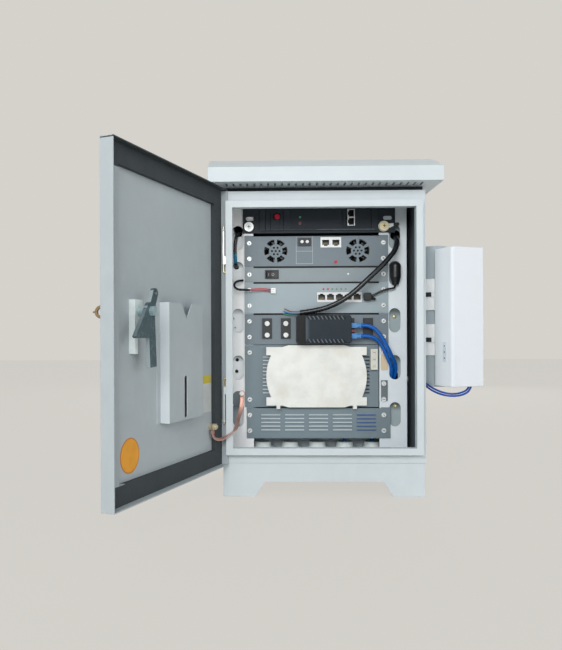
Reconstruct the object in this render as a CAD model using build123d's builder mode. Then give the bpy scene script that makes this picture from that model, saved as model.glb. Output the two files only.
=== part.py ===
from build123d import *
import os
from math import atan2, cos, degrees, hypot, radians, sin, sqrt, tan

# Roadside equipment cabinet with its door open, a rack of modules inside and a panel antenna at its side.
# X is to the right, Y to the back, Z up. The origin is the centre of the anchor holes, on the ground.
# All sizes are in millimetres.

os.makedirs("parts", exist_ok=True)

# Rack: modules of one standard width sit on rows of one pitch, and the body is made round them
rack_shift = -4.5
rack_setback = 70.0
rack_rows = 13
rack_foot_room = 28.4
rack_head_room = 12.0
rack_side_room = 40.0
row_pitch = 26.2
row_gap = 0.8
post_clearance = 3.0
post_overlap = 15.0
post_return = 34.0
slot_from_module = 11.0
slot_width = 18.8
slot_length = 40.5
slot_pitch = 78.7
slot_first_row = 1.535
slot_top_pitch = 60.7
slot_count = 5
panel_width = 240.0
screw_inset = 8.0
screw_radius = 4.2
screw_height = 2.0
sleeve_sheet = 1.0
sleeve_depth = 90.0
sleeve_inset = 19.0
sleeve_drop = 0.4
ear_tab = 15.5
slit_height = 1.1

# Black controller at the top of the rack
controller_width = 254.0
controller_shift = 4.5
controller_gap = 3.6
controller_height = 44.4
controller_face = 197.0
controller_step = 3.0
controller_ledge = 4.2
controller_bays = (-47.0, 39.0, 40.0, 88.0)
controller_grooves = (-89.0, -80.7, -59.3)
controller_depth = 120.0
ear_sheet = 2.0
knob_radius = 8.0
knob_height = 6.0
bond_from_module = 5.0
bond_row = 2.885
bond_screw_radius = 2.5

# Cabinet body: its width and height follow from the rack and the room round it
body_width = panel_width + 2 * rack_side_room
body_depth = 220.0
body_height = rack_foot_room + rack_rows * row_pitch + controller_gap + controller_height + rack_head_room
sheet = 1.5
side_border = 17.0
bottom_border = 25.0
top_border = 27.5
lip_height = 12.0
lip_flange = 10.7

# Plinth
plinth_height = 53.0
plinth_inset = 1.5
plinth_sheet = 2.0
foot_width = 50.0
cut_out_height = 23.0
cut_out_slant = 15.0
foot_flange = 44.0
anchor_radius = 6.0
anchor_inset = 24.0

# Rain hood
hood_side_overhang = 20.0
hood_back_overhang = 20.0
hood_front_overhang = 33.0
hood_rise = 8.0
hood_skirt = 22.5
hood_bevel_run = 67.0
hood_bevel_rise = 26.0
seal_front_inset = 14.0
seal_side_inset = 1.0
seal_width = 8.0
vent_count = 29
vent_pitch = 10.85
vent_width = 3.0
vent_length = 22.0
vent_back_length = 15.0

# Door, in its closed size
door_angle = 112.0
door_overlap_side = 1.5
door_overlap_top = 2.0
door_overlap_bottom = 2.0
door_gap = 2.5
door_depth = 18.0
gasket_width = 25.0
gasket_clearance = 0.6

# Hinges: the axis is measured from the body's left side and front
hinge_from_side = 3.0
hinge_from_front = 7.5
barrel_radius = 2.6
barrel_length = 52.0
pin_radius = 1.5
pin_clearance = 0.08
ear_thickness = 2.5
ear_radius = 3.2
ear_clearance = 0.4
pin_tip = 4.0
pin_tail = 10.0
handle_radius = 1.3
handle_reach = 6.4
handle_angle = -10.0
upper_barrel_rise = 313.0
lower_barrel_rise = 69.5
tab_height = 12.0
tab_reach = 6.0

# Lock: places along the door are measured from the hinge axis
lock_from_edge = 69.7
lock_rise = 231.7
cam_clearance = 1.0
cam_thickness = 5.0
cam_hub_radius = 11.0
cam_upper_width = 12.5
cam_upper_reach = 31.0
cam_upper_turn = 115.0
cam_lower_width = 16.0
cam_lower_reach = 69.0
cam_lower_turn = -94.0
cam_tongue_reach = 48.0
cam_tongue_turn = -42.0
cam_tongue_drop = 33.0
cam_hole_radius = 2.6
spindle_radius = 4.0
spindle_clearance = 0.08
nut_height = 5.0
nut_radius = 6.5
lock_case_width = 18.5
lock_case_height = 29.0
lock_case_depth = 8.5
lock_bar_width = 7.0
lock_bar_length = 38.0
collar_radius = 13.0
collar_height = 9.0
key_reach = 44.0
key_shank_radius = 2.4
key_bow_height = 17.0
key_bow_length = 20.0
key_bow_thickness = 3.0
key_bow_wall = 3.5

# Document pocket on the door
pocket_from_hinge = 82.0
pocket_width = 101.0
pocket_rise = 85.0
pocket_height = 161.0
pocket_depth = 14.5
pocket_sheet = 1.0
pocket_notch_width = 31.0
pocket_notch_depth = 21.0
pocket_slot_width = 8.0
pocket_slot_length = 58.0

# Earth stud on the door
stud_along = 29.0
stud_rise = 61.7
stud_radius = 3.0
stud_length = 13.0
stud_nut_radius = 5.2
stud_nut_height = 4.5

# Antenna at the right side
antenna_from_side = 52.4
antenna_corner_y = -72.7
antenna_turn = 22.0
antenna_width = 66.0
antenna_depth = 48.0
antenna_rise = 116.0
antenna_height = 229.7
antenna_edge = 5.0
pole_radius = 19.0
pole_wall = 2.0
pole_below_antenna = 3.0
pole_height = 240.0
pole_along = 20.0
saddle_thickness = 5.0
saddle_height = 53.0
saddle_rise = 77.0
saddle_pitch = 77.0
strap_height = 7.5
strap_thickness = 1.6
bracket_width = 25.0
bracket_sheet = 4.0
bracket_rise = 37.0
bracket_pitch = 176.0
bracket_plate = 60.0

# Places that follow from the sizes above
front_y = -body_depth / 2
back_y = body_depth / 2
body_base_z = plinth_height
body_top_z = body_base_z + body_height
opening_width = body_width - 2 * side_border
opening_base_z = body_base_z + bottom_border
opening_top_z = body_top_z - top_border
opening_mid_z = (opening_base_z + opening_top_z) / 2
opening_height = opening_top_z - opening_base_z
body_mid_z = (body_base_z + body_top_z) / 2
hood_base_z = body_top_z + hood_rise
hood_skirt_z = hood_base_z + hood_skirt
hood_top_z = hood_skirt_z + hood_bevel_rise
hood_width = body_width + 2 * hood_side_overhang
hood_front_y = front_y - hood_front_overhang
hood_back_y = back_y + hood_back_overhang
rack_y = front_y + rack_setback
panel_y = rack_y - sheet
floor_z = body_base_z + sheet
rack_base_z = body_base_z + rack_foot_room
post_spread = body_width / 2 - sheet - post_clearance + rack_shift
post_face = post_spread - panel_width / 2 + post_overlap
slot_spread = panel_width / 2 + slot_from_module
slot_first_z = rack_base_z + slot_first_row * row_pitch
slot_places = [slot_first_z + slot_pitch * number for number in range(slot_count - 1)]
slot_places.append(slot_places[-1] + slot_top_pitch)
screw_spread = panel_width / 2 - screw_inset
bond_x = rack_shift - panel_width / 2 - bond_from_module
bond_z = rack_base_z + bond_row * row_pitch
upper_barrel_z = body_base_z + upper_barrel_rise
lower_barrel_z = body_base_z + lower_barrel_rise
lock_along = body_width - lock_from_edge
lock_z = body_base_z + lock_rise
pocket_base_z = body_base_z + pocket_rise
stud_z = body_base_z + stud_rise
antenna_corner_x = body_width / 2 + antenna_from_side
antenna_base_z = body_base_z + antenna_rise
pole_base_z = antenna_base_z - pole_below_antenna
saddle_places = (antenna_base_z + saddle_rise, antenna_base_z + saddle_rise + saddle_pitch)
bracket_places = (antenna_base_z + bracket_rise, antenna_base_z + bracket_rise + bracket_pitch)
roof_z = body_top_z - sheet


def save(part, name):
    """Label a finished piece and write it to its own file."""
    part.label = name
    export_step(part, f"parts/{name}.step")


def facing(y):
    """Plane at depth y that faces the front: local x is X and local y is Z."""
    return Plane(origin=(0, y, 0), x_dir=(1, 0, 0), z_dir=(0, -1, 0))


def level(z):
    """Horizontal plane at height z."""
    return Plane.XY.offset(z)


def row_z(row):
    """Height of the lower edge of a rack row."""
    return rack_base_z + row * row_pitch


# Cabinet body: a folded box whose front border is turned out into a rain lip

gland_pitch = 47.0
gland_count = 5
gland_setback = 105.0
gland_bore = 16.0
side_gland_setback = 118.0
side_gland_z = body_base_z + 125.0
side_gland_bore = 9.0
gland_y = front_y + gland_setback
side_gland_y = front_y + side_gland_setback

with BuildPart() as cabinet_shell:
    with BuildSketch(level(body_base_z)):
        with Locations((0, 0)):
            Rectangle(body_width, body_depth)
    extrude(amount=body_height)
    with BuildSketch(level(floor_z)):
        Rectangle(body_width - 2 * sheet, body_depth - 2 * sheet)
    extrude(amount=body_height - 2 * sheet, mode=Mode.SUBTRACT)
    with BuildSketch(facing(front_y + sheet)):
        with Locations((0, opening_mid_z)):
            Rectangle(opening_width + 2 * sheet, opening_height + 2 * sheet)
    extrude(amount=lip_height + sheet)
    with BuildSketch(facing(front_y - lip_height + sheet)):
        with Locations((0, opening_mid_z)):
            Rectangle(opening_width + 2 * lip_flange, opening_height + 2 * lip_flange)
    extrude(amount=sheet)
    with BuildSketch(facing(front_y + sheet)):
        with Locations((0, opening_mid_z)):
            Rectangle(opening_width, opening_height)
    extrude(amount=lip_height + sheet, mode=Mode.SUBTRACT)
    with BuildSketch(level(body_base_z)):
        with Locations((0, gland_y)):
            with GridLocations(gland_pitch, 0, gland_count, 1):
                Circle(gland_bore / 2)
    extrude(amount=sheet, mode=Mode.SUBTRACT)
    with BuildSketch(Plane(origin=(body_width / 2 - sheet, side_gland_y, side_gland_z), z_dir=(1, 0, 0))):
        Circle(side_gland_bore / 2)
    extrude(amount=sheet, mode=Mode.SUBTRACT)
save(cabinet_shell.part, "cabinet_shell")

# Plinth: a skirt with a slanted cut-out in each side, and a flange with an anchor hole in each foot

plinth_width = body_width - 2 * plinth_inset
plinth_depth = body_depth - 2 * plinth_inset
anchor_x = plinth_width / 2 - anchor_inset
anchor_y = plinth_depth / 2 - anchor_inset
foot_flange_mid = foot_flange / 2


def cut_out(length):
    """Outline of the cut-out in a skirt of this length."""
    half = length / 2 - foot_width
    with BuildLine() as edge:
        Polyline(
            (-half, 0),
            (half, 0),
            (half - cut_out_slant, cut_out_height),
            (-half + cut_out_slant, cut_out_height),
            close=True,
        )
    make_face(edge.edges())


with BuildPart() as plinth:
    with BuildSketch(level(0)):
        Rectangle(plinth_width, plinth_depth)
        Rectangle(
            plinth_width - 2 * plinth_sheet,
            plinth_depth - 2 * plinth_sheet,
            mode=Mode.SUBTRACT,
        )
    extrude(amount=plinth_height)
    with BuildSketch(level(plinth_height - plinth_sheet)):
        Rectangle(plinth_width, plinth_depth)
        Rectangle(
            plinth_width - 2 * foot_flange,
            plinth_depth - 2 * foot_flange,
            mode=Mode.SUBTRACT,
        )
    extrude(amount=plinth_sheet)
    with BuildSketch(facing(0)):
        cut_out(plinth_width)
    extrude(amount=plinth_depth, both=True, mode=Mode.SUBTRACT)
    with BuildSketch(Plane.YZ):
        cut_out(plinth_depth)
    extrude(amount=plinth_width, both=True, mode=Mode.SUBTRACT)
    with BuildSketch(level(0)):
        with GridLocations(
            plinth_width - foot_flange, plinth_depth - foot_flange, 2, 2
        ):
            Rectangle(foot_flange, foot_flange)
        with GridLocations(2 * anchor_x, 2 * anchor_y, 2, 2):
            Circle(anchor_radius, mode=Mode.SUBTRACT)
    extrude(amount=plinth_sheet)
save(plinth.part, "plinth")

# Foam seal between the roof and the hood's underside

seal_outer_width = body_width - 2 * seal_side_inset
seal_outer_depth = body_depth - 2 * seal_front_inset

with BuildPart() as hood_seal:
    with BuildSketch(level(body_top_z)):
        Rectangle(seal_outer_width, seal_outer_depth)
        Rectangle(
            seal_outer_width - 2 * seal_width,
            seal_outer_depth - 2 * seal_width,
            mode=Mode.SUBTRACT,
        )
    extrude(amount=hood_rise)
save(hood_seal.part, "hood_seal")

# Rain hood: front skirt, bevel and flat top, folded from one sheet, open underneath


def hood_outline(wall):
    """Side view of the hood, moved in by the wall."""
    bevel = atan2(hood_bevel_rise, hood_bevel_run)
    shift = wall * tan((radians(90) - bevel) / 2)
    rise = wall * tan(bevel / 2)
    with BuildLine() as edge:
        Polyline(
            (hood_front_y + wall, hood_base_z),
            (hood_front_y + wall, hood_skirt_z - shift),
            (hood_front_y + hood_bevel_run + rise, hood_top_z - wall),
            (hood_back_y - wall, hood_top_z - wall),
            (hood_back_y - wall, hood_base_z),
            close=True,
        )
    make_face(edge.edges())


with BuildPart() as rain_hood:
    with BuildSketch(Plane.YZ):
        hood_outline(0)
    extrude(amount=hood_width / 2, both=True)
    with BuildSketch(Plane.YZ):
        hood_outline(sheet)
    extrude(amount=hood_width / 2 - sheet, both=True, mode=Mode.SUBTRACT)
save(rain_hood.part, "rain_hood")

# Underside of the hood: a frame round the seal, with a row of vent slots at the front and the back

hood_mid_y = (hood_front_y + hood_back_y) / 2
vent_front_y = front_y - 7.0
vent_back_y = (hood_back_y + back_y) / 2 - 2.0

with BuildPart() as hood_vent_plate:
    with BuildSketch(level(hood_base_z)):
        with Locations((0, hood_mid_y)):
            Rectangle(hood_width - 2 * sheet, hood_back_y - hood_front_y - 2 * sheet)
        Rectangle(
            seal_outer_width - seal_width,
            seal_outer_depth - seal_width,
            mode=Mode.SUBTRACT,
        )
        for vent_y, length in ((vent_front_y, vent_length), (vent_back_y, vent_back_length)):
            with Locations((0, vent_y)):
                with GridLocations(vent_pitch, 0, vent_count, 1):
                    Rectangle(vent_width, length, mode=Mode.SUBTRACT)
    extrude(amount=sheet)
save(hood_vent_plate.part, "hood_vent_plate")

# Rack posts: channels between floor and roof, with tall oval slots in their front face

for side, sign in (("left", -1), ("right", 1)):
    outer_x = rack_shift + sign * post_spread
    with BuildPart() as rack_post:
        with BuildSketch(level(floor_z)):
            with BuildLine():
                Polyline(
                    (outer_x - sign * post_face, rack_y),
                    (outer_x, rack_y),
                    (outer_x, rack_y + post_return),
                    (outer_x - sign * sheet, rack_y + post_return),
                    (outer_x - sign * sheet, rack_y + sheet),
                    (outer_x - sign * post_face, rack_y + sheet),
                    close=True,
                )
            make_face()
        extrude(amount=roof_z - floor_z)
        with BuildSketch(facing(rack_y + sheet)):
            for slot_z in slot_places:
                with Locations((rack_shift + sign * slot_spread, slot_z)):
                    SlotOverall(slot_length, slot_width, rotation=90)
        extrude(amount=sheet, mode=Mode.SUBTRACT)
    save(rack_post.part, f"rack_post_{side}")

# Door: everything on it is placed from the hinge axis, along the door and through its thickness

hinge_x = -body_width / 2 + hinge_from_side
hinge_y = front_y - hinge_from_front
along = Vector(cos(radians(-door_angle)), sin(radians(-door_angle)), 0)
inward = Vector(-along.Y, along.X, 0)
skin_out = hinge_from_front - door_gap - door_depth
skin_in = skin_out + sheet
flange_end = hinge_from_front - door_gap
door_start = -(hinge_from_side + door_overlap_side)
door_width = body_width + 2 * door_overlap_side
door_base_z = body_base_z - door_overlap_bottom
door_top_z = body_top_z + door_overlap_top
door_height = door_top_z - door_base_z
door_mid = door_start + door_width / 2
door_mid_z = (door_base_z + door_top_z) / 2
gasket_height = door_depth + door_gap - sheet - lip_height - gasket_clearance


def door_face(through):
    """Plane parallel to the door that faces out of it: local x runs along the door and local y is Z."""
    origin = Vector(hinge_x, hinge_y, 0) + inward * through
    return Plane(origin=origin, x_dir=along, z_dir=-inward)


def door_level(z):
    """Horizontal plane at height z: local x runs along the door and local y through it."""
    return Plane(origin=(hinge_x, hinge_y, z), x_dir=along, z_dir=(0, 0, 1))


with BuildPart() as door_panel:
    with BuildSketch(door_face(flange_end)):
        with Locations((door_mid, door_mid_z)):
            Rectangle(door_width, door_height)
    extrude(amount=door_depth)
    with BuildSketch(door_face(flange_end)):
        with Locations((door_mid, door_mid_z)):
            Rectangle(door_width - 2 * sheet, door_height - 2 * sheet)
    extrude(amount=door_depth - sheet, mode=Mode.SUBTRACT)
    with BuildSketch(door_face(skin_in)):
        with Locations((lock_along, lock_z)):
            Circle(spindle_radius + sheet)
    extrude(amount=sheet, mode=Mode.SUBTRACT)
save(door_panel.part, "door_panel")

with BuildPart() as door_gasket:
    with BuildSketch(door_face(skin_in)):
        with Locations((door_mid, door_mid_z)):
            Rectangle(door_width - 2 * sheet, door_height - 2 * sheet)
            Rectangle(
                door_width - 2 * sheet - 2 * gasket_width,
                door_height - 2 * sheet - 2 * gasket_width,
                mode=Mode.SUBTRACT,
            )
    extrude(amount=-gasket_height)
save(door_gasket.part, "door_gasket")

# Document pocket: a folded sheet box that is open at the top

pocket_mid = pocket_from_hinge + pocket_width / 2
pocket_mid_z = pocket_base_z + pocket_height / 2
pocket_top_z = pocket_base_z + pocket_height

with BuildPart() as document_pocket:
    with BuildSketch(door_face(skin_in)):
        with Locations((pocket_mid, pocket_mid_z)):
            Rectangle(pocket_width, pocket_height)
    extrude(amount=-pocket_depth)
    with BuildSketch(door_face(skin_in)):
        with Locations((pocket_mid, pocket_mid_z + pocket_sheet / 2)):
            Rectangle(pocket_width - 2 * pocket_sheet, pocket_height - pocket_sheet)
    extrude(amount=-(pocket_depth - pocket_sheet), mode=Mode.SUBTRACT)
    with BuildSketch(door_face(skin_in + pocket_depth - pocket_sheet)):
        with BuildLine():
            Polyline(
                (pocket_mid - pocket_notch_width / 2, pocket_top_z),
                (pocket_mid + pocket_notch_width / 2, pocket_top_z),
                (pocket_mid, pocket_top_z - pocket_notch_depth),
                close=True,
            )
        make_face()
        with Locations((pocket_mid + 3.0, pocket_base_z + pocket_slot_length / 2 + 3.0)):
            SlotOverall(pocket_slot_length, pocket_slot_width, rotation=90)
    extrude(amount=-pocket_sheet, mode=Mode.SUBTRACT)
save(document_pocket.part, "document_pocket")

# Hinges: barrels welded to the rain lip, ears welded to the door's flange, and a pull pin in each

barrel_bore = pin_radius + pin_clearance
lip_back_y = front_y - lip_height + sheet
lip_tip_x = -(opening_width / 2 + lip_flange)
hinges = (
    ("upper", upper_barrel_z, 1),
    ("lower", lower_barrel_z, -1),
)


def hinge_end(base_z, up):
    """Heights of the barrel's outer end, next to the ear, and of its inner end."""
    if up > 0:
        return base_z + barrel_length, base_z
    return base_z, base_z + barrel_length


with BuildPart() as hinge_barrels:
    for name, base_z, up in hinges:
        outer_z, inner_z = hinge_end(base_z, up)
        with BuildSketch(level(base_z)):
            with Locations((hinge_x, hinge_y)):
                Circle(barrel_radius)
        extrude(amount=barrel_length)
        with BuildSketch(level(inner_z)):
            with Locations((hinge_x, lip_back_y + sheet / 2)):
                Rectangle(lip_tip_x + tab_reach - hinge_x, sheet, align=(Align.MIN, Align.CENTER))
        extrude(amount=up * tab_height)
        with BuildSketch(level(base_z)):
            with Locations((hinge_x, hinge_y)):
                Circle(barrel_bore)
        extrude(amount=barrel_length, mode=Mode.SUBTRACT)
save(hinge_barrels.part, "hinge_barrels")

with BuildPart() as hinge_ears:
    for name, base_z, up in hinges:
        outer_z, inner_z = hinge_end(base_z, up)
        with BuildSketch(door_level(outer_z + up * ear_clearance)):
            with BuildLine():
                Line((door_start + sheet, -ear_radius), (0, -ear_radius))
                ThreePointArc((0, -ear_radius), (ear_radius, 0), (0, ear_radius))
                Line((0, ear_radius), (door_start + sheet, ear_radius))
                Line((door_start + sheet, ear_radius), (door_start + sheet, -ear_radius))
            make_face()
            Circle(barrel_bore, mode=Mode.SUBTRACT)
        extrude(amount=up * ear_thickness)
save(hinge_ears.part, "hinge_ears")

for name, base_z, up in hinges:
    outer_z, inner_z = hinge_end(base_z, up)
    tip_z = outer_z + up * (ear_clearance + ear_thickness + pin_tip)
    tail_z = inner_z - up * pin_tail
    leg_z = tail_z - up * 2 * handle_radius
    leg_x = hinge_x + handle_reach * cos(radians(handle_angle))
    leg_y = hinge_y + handle_reach * sin(radians(handle_angle))
    with BuildPart() as hinge_pin:
        with BuildSketch(level(tail_z)):
            with Locations((hinge_x, hinge_y)):
                Circle(pin_radius)
        extrude(amount=tip_z - tail_z)
        with BuildLine():
            FilletPolyline(
                (hinge_x, hinge_y, tail_z + up * handle_radius),
                (hinge_x, hinge_y, leg_z),
                (leg_x, leg_y, leg_z),
                radius=1.6 * handle_radius,
            )
        with BuildSketch(Plane(origin=(hinge_x, hinge_y, tail_z + up * handle_radius), z_dir=(0, 0, -up))):
            Circle(handle_radius)
        sweep()
    save(hinge_pin.part, f"hinge_pin_{name}")

# Lock: a case and collar fixed to the door, and a spindle that turns the lever and takes the key

cam_in = hinge_from_front + sheet + cam_clearance
cam_out = cam_in + cam_thickness
bar_along = lock_along + lock_case_width / 2 - lock_bar_width / 2
bar_base_z = lock_z - lock_case_height / 2 - lock_bar_length
socket_radius = spindle_radius + spindle_clearance

with BuildPart() as lock_housing:
    with BuildSketch(door_face(skin_in)):
        with Locations((lock_along, lock_z)):
            Rectangle(lock_case_width, lock_case_height)
        with Locations((bar_along, bar_base_z)):
            Rectangle(lock_bar_width, lock_bar_length, align=(Align.CENTER, Align.MIN))
    extrude(amount=-lock_case_depth)
    with BuildSketch(door_face(skin_in)):
        with Locations((lock_along, lock_z)):
            Circle(spindle_radius + sheet)
    extrude(amount=sheet)
    with BuildSketch(door_face(skin_out)):
        with Locations((lock_along, lock_z)):
            Circle(collar_radius)
    extrude(amount=collar_height, taper=12)
    with BuildSketch(door_face(skin_in + lock_case_depth)):
        with Locations((lock_along, lock_z)):
            Circle(socket_radius)
    extrude(amount=sheet + lock_case_depth + collar_height, mode=Mode.SUBTRACT)
save(lock_housing.part, "lock_housing")


def arm_end(reach, turn):
    """Point on the door's face at this reach from the spindle."""
    return (lock_along + reach * cos(radians(turn)), lock_z + reach * sin(radians(turn)))


with BuildPart() as lock_cam:
    with BuildSketch(door_face(cam_in)):
        with Locations((lock_along, lock_z)):
            Circle(cam_hub_radius)
        with Locations(Location((lock_along, lock_z, 0), (0, 0, cam_lower_turn))):
            Rectangle(cam_lower_reach, cam_lower_width, align=(Align.MIN, Align.CENTER))
        with Locations(Location((lock_along, lock_z, 0), (0, 0, cam_upper_turn))):
            Rectangle(cam_upper_reach - cam_upper_width / 2, cam_upper_width, align=(Align.MIN, Align.CENTER))
        with Locations(arm_end(cam_upper_reach - cam_upper_width / 2, cam_upper_turn)):
            Circle(cam_upper_width / 2)
        with BuildLine():
            Polyline(
                arm_end(cam_hub_radius, 60),
                arm_end(cam_hub_radius + 1.0, 10),
                arm_end(cam_tongue_reach, cam_tongue_turn + 2),
                (arm_end(cam_tongue_reach, cam_tongue_turn)[0] - 1.0, lock_z - cam_tongue_drop),
                (lock_along, lock_z - cam_tongue_drop),
                (lock_along, lock_z),
                close=True,
            )
        make_face()
        with Locations((lock_along, lock_z)):
            Circle(spindle_radius, mode=Mode.SUBTRACT)
        with Locations(arm_end(cam_upper_reach - cam_upper_width / 2, cam_upper_turn)):
            Circle(cam_hole_radius, mode=Mode.SUBTRACT)
    extrude(amount=-cam_thickness)
save(lock_cam.part, "lock_cam")

with BuildPart() as lock_spindle:
    with BuildSketch(door_face(cam_out)):
        with Locations((lock_along, lock_z)):
            Circle(spindle_radius)
    extrude(amount=cam_out - skin_out + collar_height)
    with BuildSketch(door_face(cam_in)):
        with Locations((lock_along, lock_z)):
            Circle(spindle_radius + sheet)
    extrude(amount=cam_in - skin_in - lock_case_depth - cam_clearance / 2)
    with BuildSketch(door_face(cam_out)):
        with Locations((lock_along, lock_z)):
            RegularPolygon(nut_radius, 6)
    extrude(amount=-nut_height)
save(lock_spindle.part, "lock_spindle")

with BuildPart() as lock_key:
    with BuildSketch(door_face(skin_out - collar_height)):
        with Locations((lock_along, lock_z)):
            Circle(key_shank_radius)
    extrude(amount=key_reach - collar_height - key_bow_length / 2 + key_bow_wall / 2)
    key_plane = Plane(
        origin=Vector(hinge_x, hinge_y, lock_z) + along * (lock_along - key_bow_thickness / 2),
        x_dir=-inward,
        z_dir=along,
    )
    with BuildSketch(key_plane):
        with Locations((-skin_out + key_reach, 0)):
            Ellipse(key_bow_length / 2, key_bow_height / 2)
            Ellipse(key_bow_length / 2 - key_bow_wall, key_bow_height / 2 - key_bow_wall, mode=Mode.SUBTRACT)
    extrude(amount=key_bow_thickness)
    with BuildSketch(door_face(skin_out - key_reach - key_bow_length / 2 + key_shank_radius)):
        with Locations((lock_along, lock_z)):
            Circle(key_shank_radius / 2)
    extrude(amount=key_shank_radius + 3.0)
save(lock_key.part, "lock_key")

# Earth stud on the door: stud, washer and nut turned as one group

with BuildPart() as door_earth_stud:
    with BuildSketch(door_face(skin_in)):
        with Locations((stud_along, stud_z)):
            Circle(stud_radius)
    extrude(amount=-stud_length)
    with BuildSketch(door_face(skin_in)):
        with Locations((stud_along, stud_z)):
            RegularPolygon(stud_nut_radius, 6)
    extrude(amount=-stud_nut_height)
    with BuildSketch(door_face(skin_in + stud_nut_height + 2.0)):
        with Locations((stud_along, stud_z)):
            RegularPolygon(stud_nut_radius, 6)
    extrude(amount=-stud_nut_height)
save(door_earth_stud.part, "door_earth_stud")

# Black controller: an eared face with a stepped front, and its sleeve behind

controller_x = rack_shift + controller_shift
controller_base_z = row_z(13) + controller_gap
controller_mid_z = controller_base_z + controller_height / 2
ear_y = rack_y - ear_sheet
face_y = ear_y - controller_step
button_x = -70.0
button_z = controller_base_z + 27.0
button_radius = 4.6
button_travel = 2.0
button_proud = 3.0
button_clearance = 0.3
groove_width = 0.9
groove_depth = 1.6
port_stack_x = 53.4
jack_opening = 11.6
jack_opening_height = 8.4
jack_notch_width = 6.0
jack_notch_depth = 1.8
jack_depth = 11.0
jack_case_depth = 13.0
jack_proud = 1.0
jack_clearance = 0.2
port_frame_width = 12.4
port_frame_height = 27.5
knob_z = controller_base_z + 10.4
knob_offset = 112.5
ear_slot_offset = 114.5
ear_slot_heights = (24.5, 42.0)

with BuildPart() as controller_chassis:
    with BuildSketch(facing(rack_y)):
        with Locations((controller_x, controller_mid_z)):
            Rectangle(controller_width, controller_height)
            with Locations((-ear_slot_offset, 0), (ear_slot_offset, 0)):
                with Locations((0, ear_slot_heights[0] - controller_height / 2)):
                    SlotOverall(15.0, 7.0, mode=Mode.SUBTRACT)
        with Locations((rack_shift, knob_z)):
            with Locations((-knob_offset, 0), (knob_offset, 0)):
                Circle(3.2, mode=Mode.SUBTRACT)
    extrude(amount=ear_sheet)
    with BuildSketch(facing(ear_y)):
        with Locations((controller_x, controller_mid_z + controller_ledge / 2)):
            Rectangle(controller_face, controller_height - controller_ledge)
    extrude(amount=controller_step)
    for left, right, bay_depth in (
        (controller_bays[0], controller_bays[1], controller_step / 2),
        (controller_bays[2], controller_bays[3], controller_step - 0.6),
    ):
        with BuildSketch(facing(face_y + bay_depth)):
            with Locations((controller_x + (left + right) / 2, controller_mid_z + controller_ledge / 2 + 1.0)):
                Rectangle(right - left, controller_height - controller_ledge - 2.0)
        extrude(amount=bay_depth, mode=Mode.SUBTRACT)
    with BuildSketch(facing(face_y + groove_depth)):
        for groove_x in controller_grooves:
            with Locations((controller_x + groove_x, controller_mid_z)):
                Rectangle(groove_width, controller_height)
    extrude(amount=groove_depth, mode=Mode.SUBTRACT)
    with BuildSketch(facing(rack_y + sleeve_sheet)):
        with Locations((button_x, button_z)):
            Circle(button_radius + button_clearance)
        with Locations((port_stack_x, controller_mid_z + 3.0)):
            Rectangle(port_frame_width + 2 * jack_clearance, port_frame_height + 2 * jack_clearance)
    extrude(amount=ear_sheet + controller_step + sleeve_sheet, mode=Mode.SUBTRACT)
    with BuildSketch(facing(rack_y + controller_depth)):
        with Locations((rack_shift, controller_mid_z)):
            Rectangle(controller_face, controller_height - 2 * sleeve_sheet)
            Rectangle(
                controller_face - 2 * sleeve_sheet,
                controller_height - 4 * sleeve_sheet,
                mode=Mode.SUBTRACT,
            )
    extrude(amount=controller_depth)
save(controller_chassis.part, "controller_chassis")

with BuildPart() as power_button:
    with BuildSketch(facing(rack_y + button_travel)):
        with Locations((button_x, button_z)):
            Circle(button_radius)
    extrude(amount=rack_y + button_travel - face_y + button_proud)
    fillet(power_button.faces().sort_by(Axis.Y)[0].edges(), radius=1.2)
save(power_button.part, "power_button")


def jack_hole(notch_side):
    """Mouth of one modular jack: a rectangle with a latch notch above or below it."""
    Rectangle(jack_opening, jack_opening_height)
    with Locations((0, notch_side * (jack_opening_height + jack_notch_depth) / 2)):
        Rectangle(jack_notch_width, jack_notch_depth)


with BuildPart() as controller_ports:
    with BuildSketch(facing(face_y + jack_case_depth)):
        with Locations((port_stack_x, controller_mid_z + 3.0)):
            Rectangle(port_frame_width, port_frame_height)
    extrude(amount=jack_case_depth + jack_proud)
    with BuildSketch(facing(face_y - jack_proud + jack_depth)):
        with Locations((port_stack_x + 0.6, controller_mid_z + 3.0)):
            with GridLocations(0, port_frame_height / 2, 1, 2):
                Rectangle(jack_opening_height, jack_opening)
                with Locations((-(jack_opening_height + jack_notch_depth) / 2, 0)):
                    Rectangle(jack_notch_depth, jack_notch_width)
    extrude(amount=jack_depth, mode=Mode.SUBTRACT)
save(controller_ports.part, "controller_ports")


def panel_blank(first_row, rows, shift=0.0):
    """Face of a module that spans these rows, cut lower between its two ears."""
    with Locations((rack_shift + shift, row_z(first_row + rows / 2))):
        Rectangle(panel_width, rows * row_pitch - row_gap)
        with Locations((0, (rows * row_pitch - row_gap - slit_height) / 2)):
            Rectangle(panel_width - 2 * ear_tab, slit_height, mode=Mode.SUBTRACT)


def sleeve(first_row, rows):
    """Outline of the folded sleeve behind a module's face."""
    width = panel_width - 2 * sleeve_inset
    height = rows * row_pitch - row_gap - 2 * (sleeve_sheet + sleeve_drop)
    with Locations((rack_shift, row_z(first_row + rows / 2))):
        Rectangle(width, height)
        Rectangle(width - 2 * sleeve_sheet, height - 2 * sleeve_sheet, mode=Mode.SUBTRACT)


# Fan module: two round grilles, a twin jack and a fibre adapter

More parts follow.
